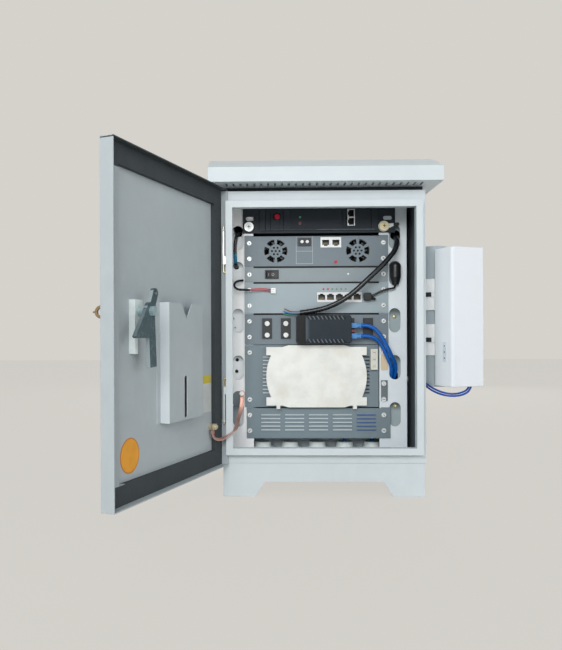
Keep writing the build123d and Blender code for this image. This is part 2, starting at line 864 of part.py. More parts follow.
fan_row = 11
fan_rows = 2
fan_mid_z = row_z(fan_row + fan_rows / 2)
fan_spread = 68.5
fan_centre_x = rack_shift + 1.0
fan_size = 40.0
fan_depth = 15.0
grille_radius = 19.6
grille_inner = 11.4
grille_petals = 6
petal_angle = 43.0
small_hole_radius = 1.7
small_hole_circle = 6.2
fan_bore = 18.6
blade_count = 7
blade_radius = 17.6
blade_thickness = 1.2
blade_height = 7.0
hub_radius = 8.5
fan_shaft = 1.5
fan_running = 0.5
twin_x = 20.0
twin_z = row_z(fan_row) + 40.2
twin_width = 34.6
twin_height = 17.4
twin_pitch = 17.0
twin_count = 2
fibre_x = -24.0
fibre_z = row_z(fan_row) + 41.0
fibre_width = 22.0
fibre_height = 13.0
fibre_proud = 3.0
fibre_pitch = 8.6
cap_radius = 2.6
cap_height = 3.0


fan_places = [(fan_centre_x - fan_spread, fan_mid_z), (fan_centre_x + fan_spread, fan_mid_z)]
petal_half = radians(petal_angle / 2)
petal_in = (grille_inner * cos(petal_half), grille_inner * sin(petal_half))
petal_out = (grille_radius * cos(petal_half), grille_radius * sin(petal_half))

with BuildSketch() as petal:
    with BuildLine():
        ThreePointArc((petal_out[0], -petal_out[1]), (grille_radius, 0), petal_out)
        Line(petal_out, petal_in)
        ThreePointArc(petal_in, (grille_inner, 0), (petal_in[0], -petal_in[1]))
        Line((petal_in[0], -petal_in[1]), (petal_out[0], -petal_out[1]))
    make_face()

with BuildSketch() as grille:
    with PolarLocations(0, grille_petals):
        add(petal.sketch)
    with PolarLocations(small_hole_circle, grille_petals):
        Circle(small_hole_radius)
    Circle(small_hole_radius)

with BuildPart() as fan_panel:
    with BuildSketch(facing(rack_y)):
        panel_blank(fan_row, fan_rows)
        with Locations(*fan_places):
            add(grille.sketch, mode=Mode.SUBTRACT)
        with Locations((twin_x, twin_z)):
            Rectangle(twin_width + 2 * jack_clearance, twin_height + 2 * jack_clearance, mode=Mode.SUBTRACT)
    extrude(amount=sheet)
    with BuildSketch(facing(rack_y + sleeve_depth)):
        sleeve(fan_row, fan_rows)
    extrude(amount=sleeve_depth)
save(fan_panel.part, "fan_panel")

with BuildPart() as fan_frames:
    for fan_x, fan_z in fan_places:
        with BuildSketch(facing(rack_y + fan_depth)):
            with Locations((fan_x, fan_z)):
                Rectangle(fan_size, fan_size)
                Circle(fan_bore, mode=Mode.SUBTRACT)
        extrude(amount=fan_depth)
        with BuildSketch(facing(rack_y + fan_depth)):
            with Locations((fan_x, fan_z)):
                Circle(hub_radius)
                Rectangle(2 * fan_bore + 1.0, 3.0, rotation=45)
                Rectangle(2 * fan_bore + 1.0, 3.0, rotation=-45)
        extrude(amount=2.0)
        with BuildSketch(facing(rack_y + fan_depth - 2.0)):
            with Locations((fan_x, fan_z)):
                Circle(fan_shaft)
        extrude(amount=fan_running + blade_height - 1.4)
save(fan_frames.part, "fan_frames")

for side, (fan_x, fan_z) in zip(("left", "right"), fan_places):
    hub_back_y = rack_y + fan_depth - 2.0 - fan_running
    with BuildPart() as fan_rotor:
        with BuildSketch(facing(hub_back_y)):
            with Locations((fan_x, fan_z)):
                Circle(hub_radius)
                with PolarLocations(0, blade_count):
                    with Locations(Location(((hub_radius + blade_radius) / 2 - 0.5, 0, 0), (0, 0, 24))):
                        Rectangle(blade_radius - hub_radius, blade_thickness + 2.0)
        extrude(amount=blade_height)
        with BuildSketch(facing(hub_back_y)):
            with Locations((fan_x, fan_z)):
                Circle(fan_shaft + pin_clearance)
        extrude(amount=blade_height - 1.0, mode=Mode.SUBTRACT)
    save(fan_rotor.part, f"fan_rotor_{side}")

with BuildPart() as fibre_adapter:
    with BuildSketch(facing(panel_y)):
        with Locations((fibre_x, fibre_z)):
            Rectangle(fibre_width, fibre_height)
    extrude(amount=fibre_proud)
save(fibre_adapter.part, "fibre_adapter")

# Power module: one row high, with a rocker switch in a bezel

power_row = 10
power_mid_z = row_z(power_row + 0.5)
rocker_x = -78.7
bezel_width = 23.0
bezel_height = 15.0
bezel_proud = 1.5
bezel_depth = 13.0
rocker_half = 9.2
rocker_height = 10.6
rocker_clearance = 0.6
rocker_swing = 7.0
rocker_pivot_depth = 2.0
rocker_pivot_y = panel_y + rocker_pivot_depth

with BuildPart() as power_panel:
    with BuildSketch(facing(rack_y)):
        panel_blank(power_row, 1)
        with Locations((rocker_x, power_mid_z)):
            Rectangle(
                bezel_width - 2.0 + 2 * jack_clearance,
                bezel_height - 2.0 + 2 * jack_clearance,
                mode=Mode.SUBTRACT,
            )
    extrude(amount=sheet)
    with BuildSketch(facing(rack_y + sleeve_depth)):
        sleeve(power_row, 1)
    extrude(amount=sleeve_depth)
save(power_panel.part, "power_panel")

with BuildPart() as rocker_bezel:
    with BuildSketch(facing(panel_y)):
        with Locations((rocker_x, power_mid_z)):
            Rectangle(bezel_width, bezel_height)
    extrude(amount=bezel_proud)
    with BuildSketch(facing(panel_y)):
        with Locations((rocker_x, power_mid_z)):
            Rectangle(bezel_width - 2.0, bezel_height - 2.0)
    extrude(amount=-bezel_depth)
    with BuildSketch(facing(panel_y - bezel_proud)):
        with Locations((rocker_x, power_mid_z)):
            Rectangle(2 * (rocker_half + rocker_clearance), rocker_height + 2 * rocker_clearance)
    extrude(amount=-(bezel_proud + bezel_depth - 1.0), mode=Mode.SUBTRACT)
save(rocker_bezel.part, "rocker_bezel")

with BuildPart() as rocker_switch:
    swing = radians(rocker_swing)
    middle = rocker_pivot_depth + 1.2
    end = middle + rocker_half * tan(swing)
    turned = Plane(
        origin=(rocker_x, rocker_pivot_y, power_mid_z - rocker_height / 2),
        x_dir=(cos(swing), sin(swing), 0),
        z_dir=(0, 0, 1),
    )
    with BuildSketch(turned):
        with BuildLine():
            Polyline(
                (-rocker_half, 0),
                (-rocker_half, -end),
                (0, -middle),
                (rocker_half, -end),
                (rocker_half, 0),
            )
            ThreePointArc((rocker_half, 0), (0, rocker_half), (-rocker_half, 0))
        make_face()
    extrude(amount=rocker_height)
save(rocker_switch.part, "rocker_switch")

# Network module: two rows high, with a row of five jacks

network_row = 8
five_count = 5
five_pitch = 14.8
five_x = 34.0
five_z = row_z(network_row) + 26.8
five_width = 74.6
five_height = 16.8

with BuildPart() as network_panel:
    with BuildSketch(facing(rack_y)):
        panel_blank(network_row, 2)
        with Locations((five_x, five_z)):
            Rectangle(five_width + 2 * jack_clearance, five_height + 2 * jack_clearance, mode=Mode.SUBTRACT)
    extrude(amount=sheet)
    with BuildSketch(facing(rack_y + sleeve_depth)):
        sleeve(network_row, 2)
    extrude(amount=sleeve_depth)
save(network_panel.part, "network_panel")

jack_blocks = (
    (twin_x, twin_z, twin_width, twin_height, twin_pitch, twin_count, -1),
    (five_x, five_z, five_width, five_height, five_pitch, five_count, 1),
)

with BuildPart() as ethernet_jacks:
    for block_x, block_z, width, height, pitch, count, notch_side in jack_blocks:
        with BuildSketch(facing(panel_y + jack_case_depth)):
            with Locations((block_x, block_z)):
                Rectangle(width, height)
        extrude(amount=jack_case_depth + jack_proud)
        with BuildSketch(facing(panel_y - jack_proud + jack_depth)):
            with Locations((block_x, block_z)):
                with GridLocations(pitch, 0, count, 1):
                    jack_hole(notch_side)
        extrude(amount=jack_depth, mode=Mode.SUBTRACT)
save(ethernet_jacks.part, "ethernet_jacks")

# Outlet module: four black outlets, each with two round white caps

outlet_row = 6
outlet_mid_z = row_z(outlet_row + 1) + 1.2
outlet_places = (-87.0, -55.8, 50.5, 81.5)
outlet_width = 16.2
outlet_height = 34.0
outlet_proud = 2.5
outlet_cap_pitch = 19.0

with BuildPart() as outlet_panel:
    with BuildSketch(facing(rack_y)):
        panel_blank(outlet_row, 2)
    extrude(amount=sheet)
    with BuildSketch(facing(rack_y + sleeve_depth)):
        sleeve(outlet_row, 2)
    extrude(amount=sleeve_depth)
save(outlet_panel.part, "outlet_panel")

with BuildPart() as outlet_modules:
    with BuildSketch(facing(panel_y)):
        for outlet_x in outlet_places:
            with Locations((outlet_x, outlet_mid_z)):
                Rectangle(outlet_width, outlet_height)
    extrude(amount=outlet_proud)
save(outlet_modules.part, "outlet_modules")

with BuildPart() as white_caps:
    with BuildSketch(facing(panel_y - outlet_proud)):
        for outlet_x in outlet_places[:2]:
            with Locations((outlet_x, outlet_mid_z)):
                with GridLocations(0, outlet_cap_pitch, 1, 2):
                    Circle(cap_radius)
    extrude(amount=1.0)
    with BuildSketch(facing(panel_y - fibre_proud)):
        with Locations((fibre_x, fibre_z)):
            with GridLocations(fibre_pitch, 0, 2, 1):
                Circle(cap_radius)
    extrude(amount=cap_height)
save(white_caps.part, "white_caps")

# Lamps: small domes on the faces of the modules

lamp_radius = 1.5
red_lamp_radius = 2.6
lamp_proud = 1.0
network_lamp_z = row_z(network_row) + 40.6

with BuildPart() as indicator_lamps:
    with BuildSketch(facing(face_y + controller_step / 2)):
        with Locations((-31.4, controller_base_z + 16.3)):
            Circle(red_lamp_radius)
        with Locations((-31.4, controller_base_z + 26.3)):
            Circle(lamp_radius)
    extrude(amount=lamp_proud)
    with BuildSketch(facing(panel_y)):
        with Locations((28.2, fan_mid_z - 18.6)):
            Circle(red_lamp_radius)
        with Locations((48.8, power_mid_z + 0.3)):
            Circle(lamp_radius)
        with Locations((26.0, network_lamp_z)):
            with GridLocations(7.4, 0, 6, 1):
                Circle(lamp_radius)
    extrude(amount=lamp_proud)
save(indicator_lamps.part, "indicator_lamps")

# Power injector: a rounded black case against the outlet panel, with vent ribs cut in its long edges

injector_x = 5.7
injector_z = 264.0
injector_width = 89.0
injector_height = 46.2
injector_depth = 26.0
injector_end = 14.0
injector_corner = 4.0
rib_count = 10
rib_pitch = 6.6
rib_length = 7.0
rib_width = 1.6
rib_lean = 30.0
injector_back_y = panel_y - outlet_proud
injector_y = injector_back_y - injector_depth

with BuildPart() as poe_adapter:
    with BuildSketch(facing(injector_back_y)):
        with Locations((injector_x, injector_z)):
            RectangleRounded(injector_width, injector_height, injector_corner)
    extrude(amount=injector_depth)
    fillet(poe_adapter.faces().sort_by(Axis.Y)[0].edges(), radius=2.0)
    with BuildSketch(facing(injector_y)):
        with Locations((injector_x - injector_width / 2 + injector_end / 2, injector_z)):
            Rectangle(injector_end, injector_height)
    extrude(amount=-2.0, mode=Mode.SUBTRACT)
    with BuildSketch(facing(injector_y)):
        with Locations((injector_x + injector_end / 2 - 4.0, injector_z)):
            with GridLocations(rib_pitch, injector_height - rib_length - 1.0, rib_count, 2):
                SlotOverall(rib_length, rib_width, rotation=90 + rib_lean)
    extrude(amount=-1.2, mode=Mode.SUBTRACT)
save(poe_adapter.part, "poe_adapter")

plug_length = 21.0
plug_visible = 16.0
plug_height = 8.2
plug_depth = 11.4
plug_places = (270.4, 253.0)
plug_y = panel_y - 14.0
injector_right_x = injector_x + injector_width / 2

with BuildPart() as patch_plugs:
    for plug_z in plug_places:
        with BuildSketch(Plane(origin=(injector_right_x, plug_y, plug_z), x_dir=(0, 1, 0), z_dir=(1, 0, 0))):
            Rectangle(plug_depth, plug_height)
        extrude(amount=plug_visible * 0.6)
        with BuildSketch(
            Plane(origin=(injector_right_x + plug_visible * 0.6, plug_y, plug_z), x_dir=(0, 1, 0), z_dir=(1, 0, 0))
        ):
            Rectangle(plug_depth, plug_height)
        with BuildSketch(
            Plane(origin=(injector_right_x + plug_visible, plug_y, plug_z), x_dir=(0, 1, 0), z_dir=(1, 0, 0))
        ):
            Circle(3.6)
        loft()
save(patch_plugs.part, "patch_plugs")

# Splice module: a box with louvres at both sides, under a white tray

splice_row = 2
splice_rows = 4
splice_mid_z = row_z(splice_row + splice_rows / 2)
splice_right_x = 99.0
splice_left_x = rack_shift - panel_width / 2
splice_width = splice_right_x - splice_left_x
splice_box_left_x = splice_left_x + sleeve_inset
splice_height = splice_rows * row_pitch - row_gap
tray_x = -5.5
tray_width = 166.4
tray_height = 103.4
tray_depth = 7.0
tray_sheet = 1.5
tray_tab_z = 35.0
tray_waist = 8.0
tray_step = 3.0
tray_flat = 46.0
tray_shoulder = 56.0
side_louvre_count = 11
side_louvre_pitch = 6.0
side_louvre_width = 12.0
side_louvre_offset = 83.0
louvre_rise = 1.6
louvre_drop = 2.4
louvre_proud = 2.0
louvre_sheet = 0.7


def louvre(width, x, z, y):
    """One pressed louvre: a slot with a leaning blade over it, open at its lower edge."""
    with BuildSketch(Plane(origin=(x - width / 2, y, z), x_dir=(0, 1, 0), z_dir=(1, 0, 0))) as blade:
        with BuildLine():
            Polyline(
                (0, louvre_rise),
                (-louvre_proud, louvre_rise - louvre_drop),
                (-louvre_proud + louvre_sheet, louvre_rise - louvre_drop),
                (0, louvre_rise - louvre_sheet),
                close=True,
            )
        make_face()
    extrude(blade.sketch, amount=width)


with BuildPart() as splice_module:
    with BuildSketch(facing(rack_y)):
        with Locations(((splice_left_x + splice_right_x) / 2, splice_mid_z)):
            Rectangle(splice_width, splice_height)
        for place in (tray_x - side_louvre_offset, tray_x + side_louvre_offset):
            with Locations((place, splice_mid_z + 2.0)):
                with GridLocations(0, side_louvre_pitch, 1, side_louvre_count):
                    with Locations((0, louvre_rise - louvre_drop / 2 - louvre_sheet)):
                        Rectangle(side_louvre_width, louvre_drop - louvre_sheet, mode=Mode.SUBTRACT)
    extrude(amount=sheet)
    for place in (tray_x - side_louvre_offset, tray_x + side_louvre_offset):
        for number in range(side_louvre_count):
            louvre_z = splice_mid_z + 2.0 + (number - (side_louvre_count - 1) / 2) * side_louvre_pitch
            louvre(side_louvre_width, place, louvre_z, panel_y)
    with BuildSketch(facing(rack_y + sleeve_depth)):
        with Locations(((splice_box_left_x + splice_right_x) / 2, splice_mid_z)):
            Rectangle(splice_right_x - splice_box_left_x, splice_height - 2 * sleeve_sheet)
            Rectangle(
                splice_right_x - splice_box_left_x - 2 * sleeve_sheet,
                splice_height - 4 * sleeve_sheet,
                mode=Mode.SUBTRACT,
            )
    extrude(amount=sleeve_depth)
save(splice_module.part, "splice_module")


def tray_outline(wall):
    """Half-round sides between square corner tabs, with a shallow step in the long edges."""
    side = tray_width / 2 - wall
    top = tray_height / 2 - wall
    waist = side - tray_waist
    tab = tray_tab_z + wall
    with BuildLine() as edge:
        Polyline(
            (waist, tab),
            (side, tab),
            (side, top - tray_step),
            (tray_shoulder, top - tray_step),
            (tray_flat, top),
            (-tray_flat, top),
            (-tray_shoulder, top - tray_step),
            (-side, top - tray_step),
            (-side, tab),
            (-waist, tab),
        )
        ThreePointArc((-waist, tab), (-side, 0), (-waist, -tab))
        Polyline(
            (-waist, -tab),
            (-side, -tab),
            (-side, -top + tray_step),
            (-tray_shoulder, -top + tray_step),
            (-tray_flat, -top),
            (tray_flat, -top),
            (tray_shoulder, -top + tray_step),
            (side, -top + tray_step),
            (side, -tab),
            (waist, -tab),
        )
        ThreePointArc((waist, -tab), (side, 0), (waist, tab))
    make_face(edge.edges())


tray_back_y = panel_y - louvre_proud - 0.5

with BuildPart() as splice_tray:
    tray_plane = Plane(origin=(tray_x, tray_back_y, splice_mid_z), x_dir=(1, 0, 0), z_dir=(0, -1, 0))
    with BuildSketch(tray_plane):
        tray_outline(0)
    extrude(amount=tray_depth)
    with BuildSketch(tray_plane):
        tray_outline(tray_sheet)
    extrude(amount=tray_depth - tray_sheet, mode=Mode.SUBTRACT)
    with BuildSketch(facing(panel_y)):
        with Locations((tray_x, splice_mid_z)):
            with GridLocations(126.8, 70.0, 2, 2):
                Circle(3.5)
    extrude(amount=tray_depth - tray_sheet + panel_y - tray_back_y)
    with BuildSketch(facing(tray_back_y)):
        with Locations((tray_x, splice_mid_z - tray_height / 2 + tray_step)):
            with GridLocations(126.8, 0, 2, 1):
                Rectangle(6.0, 11.0)
    extrude(amount=tray_depth + 1.0)
save(splice_tray.part, "splice_tray")

# Terminal block at the splice module's right edge, and the two brackets on the right post

terminal_x = 90.5
terminal_z = 214.0
terminal_width = 11.5
terminal_height = 34.5
bracket_ear_x = 108.6
bracket_ear_width = 11.0

with BuildPart() as terminal_block:
    with BuildSketch(facing(panel_y)):
        with Locations((terminal_x, terminal_z)):
            Rectangle(terminal_width, terminal_height)
    extrude(amount=7.0)
    with BuildSketch(facing(panel_y - 7.0)):
        with Locations((terminal_x, terminal_z)):
            with GridLocations(0, 11.0, 1, 3):
                Circle(2.6)
    extrude(amount=-3.0, mode=Mode.SUBTRACT)
save(terminal_block.part, "terminal_block")

splice_ear_places = ((161.5, 34.5), (213.0, 34.0))

with BuildPart() as splice_ears:
    for ear_z, height in splice_ear_places:
        with BuildSketch(facing(rack_y)):
            with Locations((bracket_ear_x, ear_z)):
                Rectangle(bracket_ear_width, height)
        extrude(amount=sheet)
save(splice_ears.part, "splice_ears")

# Louvre panel at the bottom of the rack

louvre_shift = 3.0
group_count = 5
group_pitch = 39.9
group_width = 32.0
group_x = -1.6
group_rows = 5
group_row_pitch = 6.3
group_mid_z = row_z(0) + 27.2

with BuildPart() as louvre_panel:
    with BuildSketch(facing(rack_y)):
        panel_blank(0, 2, louvre_shift)
        with Locations((group_x, group_mid_z + louvre_rise - louvre_drop / 2 - louvre_sheet)):
            with GridLocations(group_pitch, group_row_pitch, group_count, group_rows):
                Rectangle(group_width, louvre_drop - louvre_sheet, mode=Mode.SUBTRACT)
    extrude(amount=sheet)
    for column in range(group_count):
        for number in range(group_rows):
            louvre_x = group_x + (column - (group_count - 1) / 2) * group_pitch
            louvre_z = group_mid_z + (number - (group_rows - 1) / 2) * group_row_pitch
            louvre(group_width, louvre_x, louvre_z, panel_y)
save(louvre_panel.part, "louvre_panel")

# Cable glands: five in the floor and a small one in the right wall, turned with a hexagon on each

gland_body_radius = 19.0
gland_hex_height = 8.0
gland_dome_height = 9.0
gland_below = 8.0

with BuildPart() as cable_glands:
    with BuildSketch(level(floor_z)):
        with Locations((0, gland_y)):
            with GridLocations(gland_pitch, 0, gland_count, 1):
                RegularPolygon(gland_body_radius, 6)
    extrude(amount=gland_hex_height)
    with BuildSketch(level(floor_z + gland_hex_height)):
        with Locations((0, gland_y)):
            with GridLocations(gland_pitch, 0, gland_count, 1):
                Circle(gland_body_radius - 4.0)
    extrude(amount=gland_dome_height, taper=10)
    with BuildSketch(level(floor_z)):
        with Locations((0, gland_y)):
            with GridLocations(gland_pitch, 0, gland_count, 1):
                Circle(gland_bore / 2 - jack_clearance)
    extrude(amount=-(sheet + gland_below))
    with BuildSketch(Plane(origin=(body_width / 2, side_gland_y, side_gland_z), z_dir=(1, 0, 0))):
        RegularPolygon(side_gland_bore / 2 + 3.5, 6)
    extrude(amount=5.0)
    with BuildSketch(Plane(origin=(body_width / 2 + 5.0, side_gland_y, side_gland_z), z_dir=(1, 0, 0))):
        Circle(side_gland_bore / 2 + 1.5)
    extrude(amount=5.0, taper=10)
    with BuildSketch(Plane(origin=(body_width / 2, side_gland_y, side_gland_z), z_dir=(1, 0, 0))):
        Circle(side_gland_bore / 2 - jack_clearance)
    extrude(amount=-(sheet + 4.0))
save(cable_glands.part, "cable_glands")

# Fasteners: a screw in each ear of each row, and two knurled earth screws in the controller's ears

left_screw_x = rack_shift - screw_spread
right_screw_x = rack_shift + screw_spread
left_screw_rows = (0, 1, 2, 5, 6, 7, 8, 9, 10, 11, 12)
right_screw_rows = (0, 1, 2, 3, 5, 6, 7, 8, 9, 10, 11, 12)
screw_places = [(left_screw_x, row_z(row + 0.5)) for row in left_screw_rows]
screw_places += [(right_screw_x, row_z(row + 0.5)) for row in right_screw_rows]

with BuildPart() as panel_screws:
    with BuildSketch(facing(panel_y)):
        with Locations(*screw_places):
            Circle(screw_radius)
    extrude(amount=screw_height, taper=25)
    with BuildSketch(facing(ear_y)):
        with Locations((rack_shift - knob_offset, knob_z), (rack_shift + knob_offset, knob_z)):
            RegularPolygon(knob_radius, 18)
    extrude(amount=knob_height)
    with BuildSketch(facing(ear_y - knob_height + 1.2)):
        with Locations((rack_shift - knob_offset, knob_z), (rack_shift + knob_offset, knob_z)):
            Rectangle(2 * knob_radius, 1.6)
    extrude(amount=1.2, mode=Mode.SUBTRACT)
    with BuildSketch(facing(ear_y)):
        with Locations((rack_shift - knob_offset, knob_z), (rack_shift + knob_offset, knob_z)):
            Circle(3.0)
    extrude(amount=-(ear_sheet - 0.2))
    with BuildSketch(facing(rack_y)):
        with Locations((bond_x, bond_z)):
            Circle(bond_screw_radius)
    extrude(amount=sheet)
    with BuildSketch(facing(panel_y)):
        with Locations((bond_x, bond_z)):
            RegularPolygon(4.2, 6)
    extrude(amount=screw_height)
save(panel_screws.part, "panel_screws")

# Antenna: a rounded upright case on white saddles, strapped to a short pole that stands off the side wall

ant_x_dir = Vector(cos(radians(antenna_turn)), sin(radians(antenna_turn)), 0)
ant_y_dir = Vector(-ant_x_dir.Y, ant_x_dir.X, 0)
ant_corner = Vector(antenna_corner_x, antenna_corner_y, 0)


def antenna_level(z):
    """Horizontal plane at height z, turned with the antenna, with its origin at the near left corner."""
    return Plane(origin=ant_corner + Vector(0, 0, z), x_dir=ant_x_dir, z_dir=(0, 0, 1))


pole_through = antenna_depth + saddle_thickness + pole_radius
pole_centre = ant_corner + ant_x_dir * pole_along + ant_y_dir * pole_through

with BuildPart() as antenna_housing:
    with BuildSketch(antenna_level(antenna_base_z)):
        with Locations((antenna_width / 2, antenna_depth / 2)):
            RectangleRounded(antenna_width, antenna_depth, antenna_edge)
    extrude(amount=antenna_height)
    fillet(antenna_housing.faces().sort_by(Axis.Z)[-1].edges(), radius=2.0)
    fillet(antenna_housing.faces().sort_by(Axis.Z)[0].edges(), radius=1.5)
save(antenna_housing.part, "antenna_housing")

with BuildPart() as antenna_pole:
    with BuildSketch(level(pole_base_z)):
        with Locations((pole_centre.X, pole_centre.Y)):
            Circle(pole_radius)
    extrude(amount=pole_height)
    for bracket_z in bracket_places:
        with BuildSketch(level(bracket_z - bracket_width / 2)):
            with Locations((body_width / 2, pole_centre.Y)):
                Rectangle(pole_centre.X - body_width / 2, bracket_sheet, align=(Align.MIN, Align.CENTER))
                Rectangle(bracket_sheet, bracket_plate, align=(Align.MIN, Align.CENTER))
        extrude(amount=bracket_width)
    with BuildSketch(level(pole_base_z)):
        with Locations((pole_centre.X, pole_centre.Y)):
            Circle(pole_radius - pole_wall)
    extrude(amount=pole_height, mode=Mode.SUBTRACT)
save(antenna_pole.part, "antenna_pole")

with BuildPart() as antenna_saddles:
    for saddle_z in saddle_places:
        with BuildSketch(antenna_level(saddle_z - saddle_height / 2)):
            with Locations((pole_along, pole_through)):
                Circle(pole_radius + saddle_thickness)
                with Locations((0, pole_radius + saddle_thickness)):
                    Rectangle(
                        2 * (pole_radius + saddle_thickness),
                        2 * (pole_radius + saddle_thickness),
                        mode=Mode.SUBTRACT,
                    )
            with Locations((pole_along, antenna_depth)):
                Rectangle(
                    1.4 * pole_radius,
                    saddle_thickness + pole_radius * 0.5,
                    align=(Align.CENTER, Align.MIN),
                )
            with Locations((pole_along, pole_through)):
                Circle(pole_radius, mode=Mode.SUBTRACT)
        extrude(amount=saddle_height)
save(antenna_saddles.part, "antenna_saddles")

strap_outer = pole_radius + saddle_thickness + strap_thickness

with BuildPart() as antenna_straps:
    for saddle_z in saddle_places:
        with BuildSketch(antenna_level(saddle_z - strap_height / 2)):
            with Locations((pole_along, pole_through)):
                Circle(strap_outer)
                Circle(pole_radius + saddle_thickness, mode=Mode.SUBTRACT)
                with Locations((0, -strap_outer)):
                    Rectangle(1.4 * pole_radius + 1.0, 2 * strap_outer, mode=Mode.SUBTRACT)
        extrude(amount=strap_height)
save(antenna_straps.part, "antenna_straps")

# Cords: each is a tube along straight runs joined by tangent arcs, as large as its runs allow


def bend_radii(points):
    """Radius at each inner point of a route."""
    radii = []
    for before, corner, after in zip(points, points[1:], points[2:]):
        first = Vector(*corner) - Vector(*before)
        second = Vector(*after) - Vector(*corner)
        turn = radians(first.get_angle(second))
        radii.append(0.45 * min(first.length, second.length) / tan(turn / 2))
    return radii


def cord(points, diameter):
    """Tube along a route, made inside the part that is being built."""
    radii = bend_radii(points)
    with BuildLine() as route:
        FilletPolyline(*points, radius=radii)
    path = route.wires()[0]
    with BuildSketch(Plane(origin=points[0], z_dir=path % 0)) as section:
        Circle(diameter / 2)
    sweep(section.sketch, path=path)
    print("cord", round(path.length, 1), "mm, radii", [round(r, 1) for r in radii])


def route_points(points):
    """Points of a route in the part's own frame: a route gives X, Y from the body's front, and Z."""
    return [(x, front_y + y, z) for x, y, z in points]


plug_out = plug_y - front_y
cord_gap = 0.3
gland_top_z = floor_z + gland_hex_height + gland_dome_height + cord_gap
side_gland_x = body_width / 2 + 10.0 + 2 * cord_gap
plug_end_x = injector_right_x + plug_visible + cord_gap
injector_top_z = injector_z + injector_height / 2
patch_diameter = 6.4
power_diameter = 8.5
dc_diameter = 3.4
jacket_diameter = 3.8
loop_diameter = 6.0
strand_diameter = 3.2
wire_diameter = 1.6
braid_diameter = 3.6
power_end = (-33.0, 55.0, injector_top_z + power_diameter / 2 + 0.2)
dc_plug_x = 80.0
dc_plug_z = 318.3
dc_plug_width = 12.6
dc_plug_height = 13.4
dc_plug_depth = 10.0
dc_start = (dc_plug_x + dc_plug_width / 2 + 3 * cord_gap, rack_setback - sheet - 5.5, dc_plug_z + 1.0)
connector_x = rack_shift + slot_spread
connector_length = 39.0
connector_radius = 9.0
connector_neck = 5.6
connector_y = 64.5
connector_base_z = 338.4
dc_end_z = connector_base_z - 3 * cord_gap
jacket_end = (-115.9, 58.0, 330.0)
stud_out = skin_in + stud_nut_height + 1.0
stud_centre = Vector(hinge_x, hinge_y, stud_z) + along * stud_along + inward * stud_out
braid_post = (bond_x, rack_setback - sheet - 0.9, bond_z)

patch_routes = {
    "patch_cable_upper": (
        (plug_end_x, plug_out, plug_places[0]),
        (78.0, 54.0, 270.6),
        (89.0, 52.5, 266.0),
        (98.0, 52.0, 256.0),
        (108.0, 52.0, 240.0),
        (117.0, 56.0, 222.0),
        (127.4, 66.0, 206.0),
        (128.6, 79.0, 186.0),
        (121.5, 89.0, 160.0),
        (111.0, 96.0, 134.0),
        (100.5, 102.0, 110.0),
        (94.8, 104.8, 88.0),
        (2 * gland_pitch, gland_setback, gland_top_z),
    ),
    "patch_cable_lower": (
        (plug_end_x, plug_out, plug_places[1]),
        (77.0, 55.5, 253.2),
        (88.0, 58.2, 251.2),
        (98.2, 60.0, 244.3),
        (106.5, 60.4, 231.0),
        (113.2, 61.8, 215.0),
        (120.9, 66.0, 201.0),
        (121.2, 79.5, 180.0),
        (114.5, 84.0, 160.0),
        (104.5, 90.0, 136.0),
        (92.0, 96.0, 116.0),
        (71.0, 101.0, 103.5),
        (52.5, 104.0, 95.0),
        (47.6, 105.0, 80.5),
        (gland_pitch, gland_setback, gland_top_z),
    ),
}

for name, points in patch_routes.items():
    with BuildPart() as patch_cable:
        cord(route_points(points), patch_diameter)
    save(patch_cable.part, name)

power_route = (
    (128.4, 104.0, 404.0),
    (128.6, 91.0, 413.5),
    (128.8, 77.0, 419.0),
    (128.6, 63.5, 415.8),
    (127.2, 54.5, 405.5),
    (123.2, 50.0, 393.5),
    (112.6, 46.0, 381.0),
    (99.6, 42.0, 366.8),
    (74.5, 40.0, 343.5),
    (50.0, 42.0, 320.5),
    (25.5, 47.0, 305.5),
    (0.0, 52.0, 295.8),
    power_end,
)

with BuildPart() as power_cord:
    cord(route_points(power_route), power_diameter)
save(power_cord.part, "power_cord")

with BuildPart() as dc_plug:
    with BuildSketch(facing(panel_y)):
        with Locations((dc_plug_x, dc_plug_z)):
            RectangleRounded(dc_plug_width, dc_plug_height, 3.0)
    extrude(amount=dc_plug_depth)
    fillet(dc_plug.faces().sort_by(Axis.Y)[0].edges(), radius=1.5)
save(dc_plug.part, "dc_plug")

dc_route = (
    dc_start,
    (97.0, 62.5, 325.0),
    (107.5, 62.0, 329.4),
    (118.5, 62.0, 331.6),
    (125.4, 63.5, 332.4),
    (connector_x, connector_y, dc_end_z),
)

with BuildPart() as dc_cord:
    cord(route_points(dc_route), dc_diameter)
save(dc_cord.part, "dc_cord")

with BuildPart() as inline_connector:
    connector_plane = Plane(
        origin=(connector_x, front_y + connector_y, connector_base_z), x_dir=(1, 0, 0), z_dir=(0, -1, 0)
    )
    with BuildSketch(connector_plane):
        with BuildLine():
            Polyline(
                (0, 0),
                (connector_neck, 0),
                (connector_neck + 0.4, 3.0),
                (connector_radius, 12.0),
                (connector_radius, connector_length - connector_radius),
            )
            CenterArc((0, connector_length - connector_radius), connector_radius, 0, 90)
            Line((0, connector_length), (0, 0))
        make_face()
    revolve(axis=Axis((connector_x, front_y + connector_y, 0), (0, 0, 1)))
save(inline_connector.part, "inline_connector")

loop_route = (
    (-131.0, 98.0, 415.0),
    (-131.5, 86.0, 423.0),
    (-133.5, 74.0, 427.0),
    (-137.3, 65.0, 422.5),
    (-139.8, 62.5, 411.0),
    (-140.4, 62.5, 399.0),
    (-140.0, 62.5, 388.5),
    (-139.5, 63.5, 379.0),
    (-138.5, 70.5, 370.5),
    (-137.0, 84.0, 368.0),
)

with BuildPart() as loop_cable:
    cord(route_points(loop_route), loop_diameter)
save(loop_cable.part, "loop_cable")

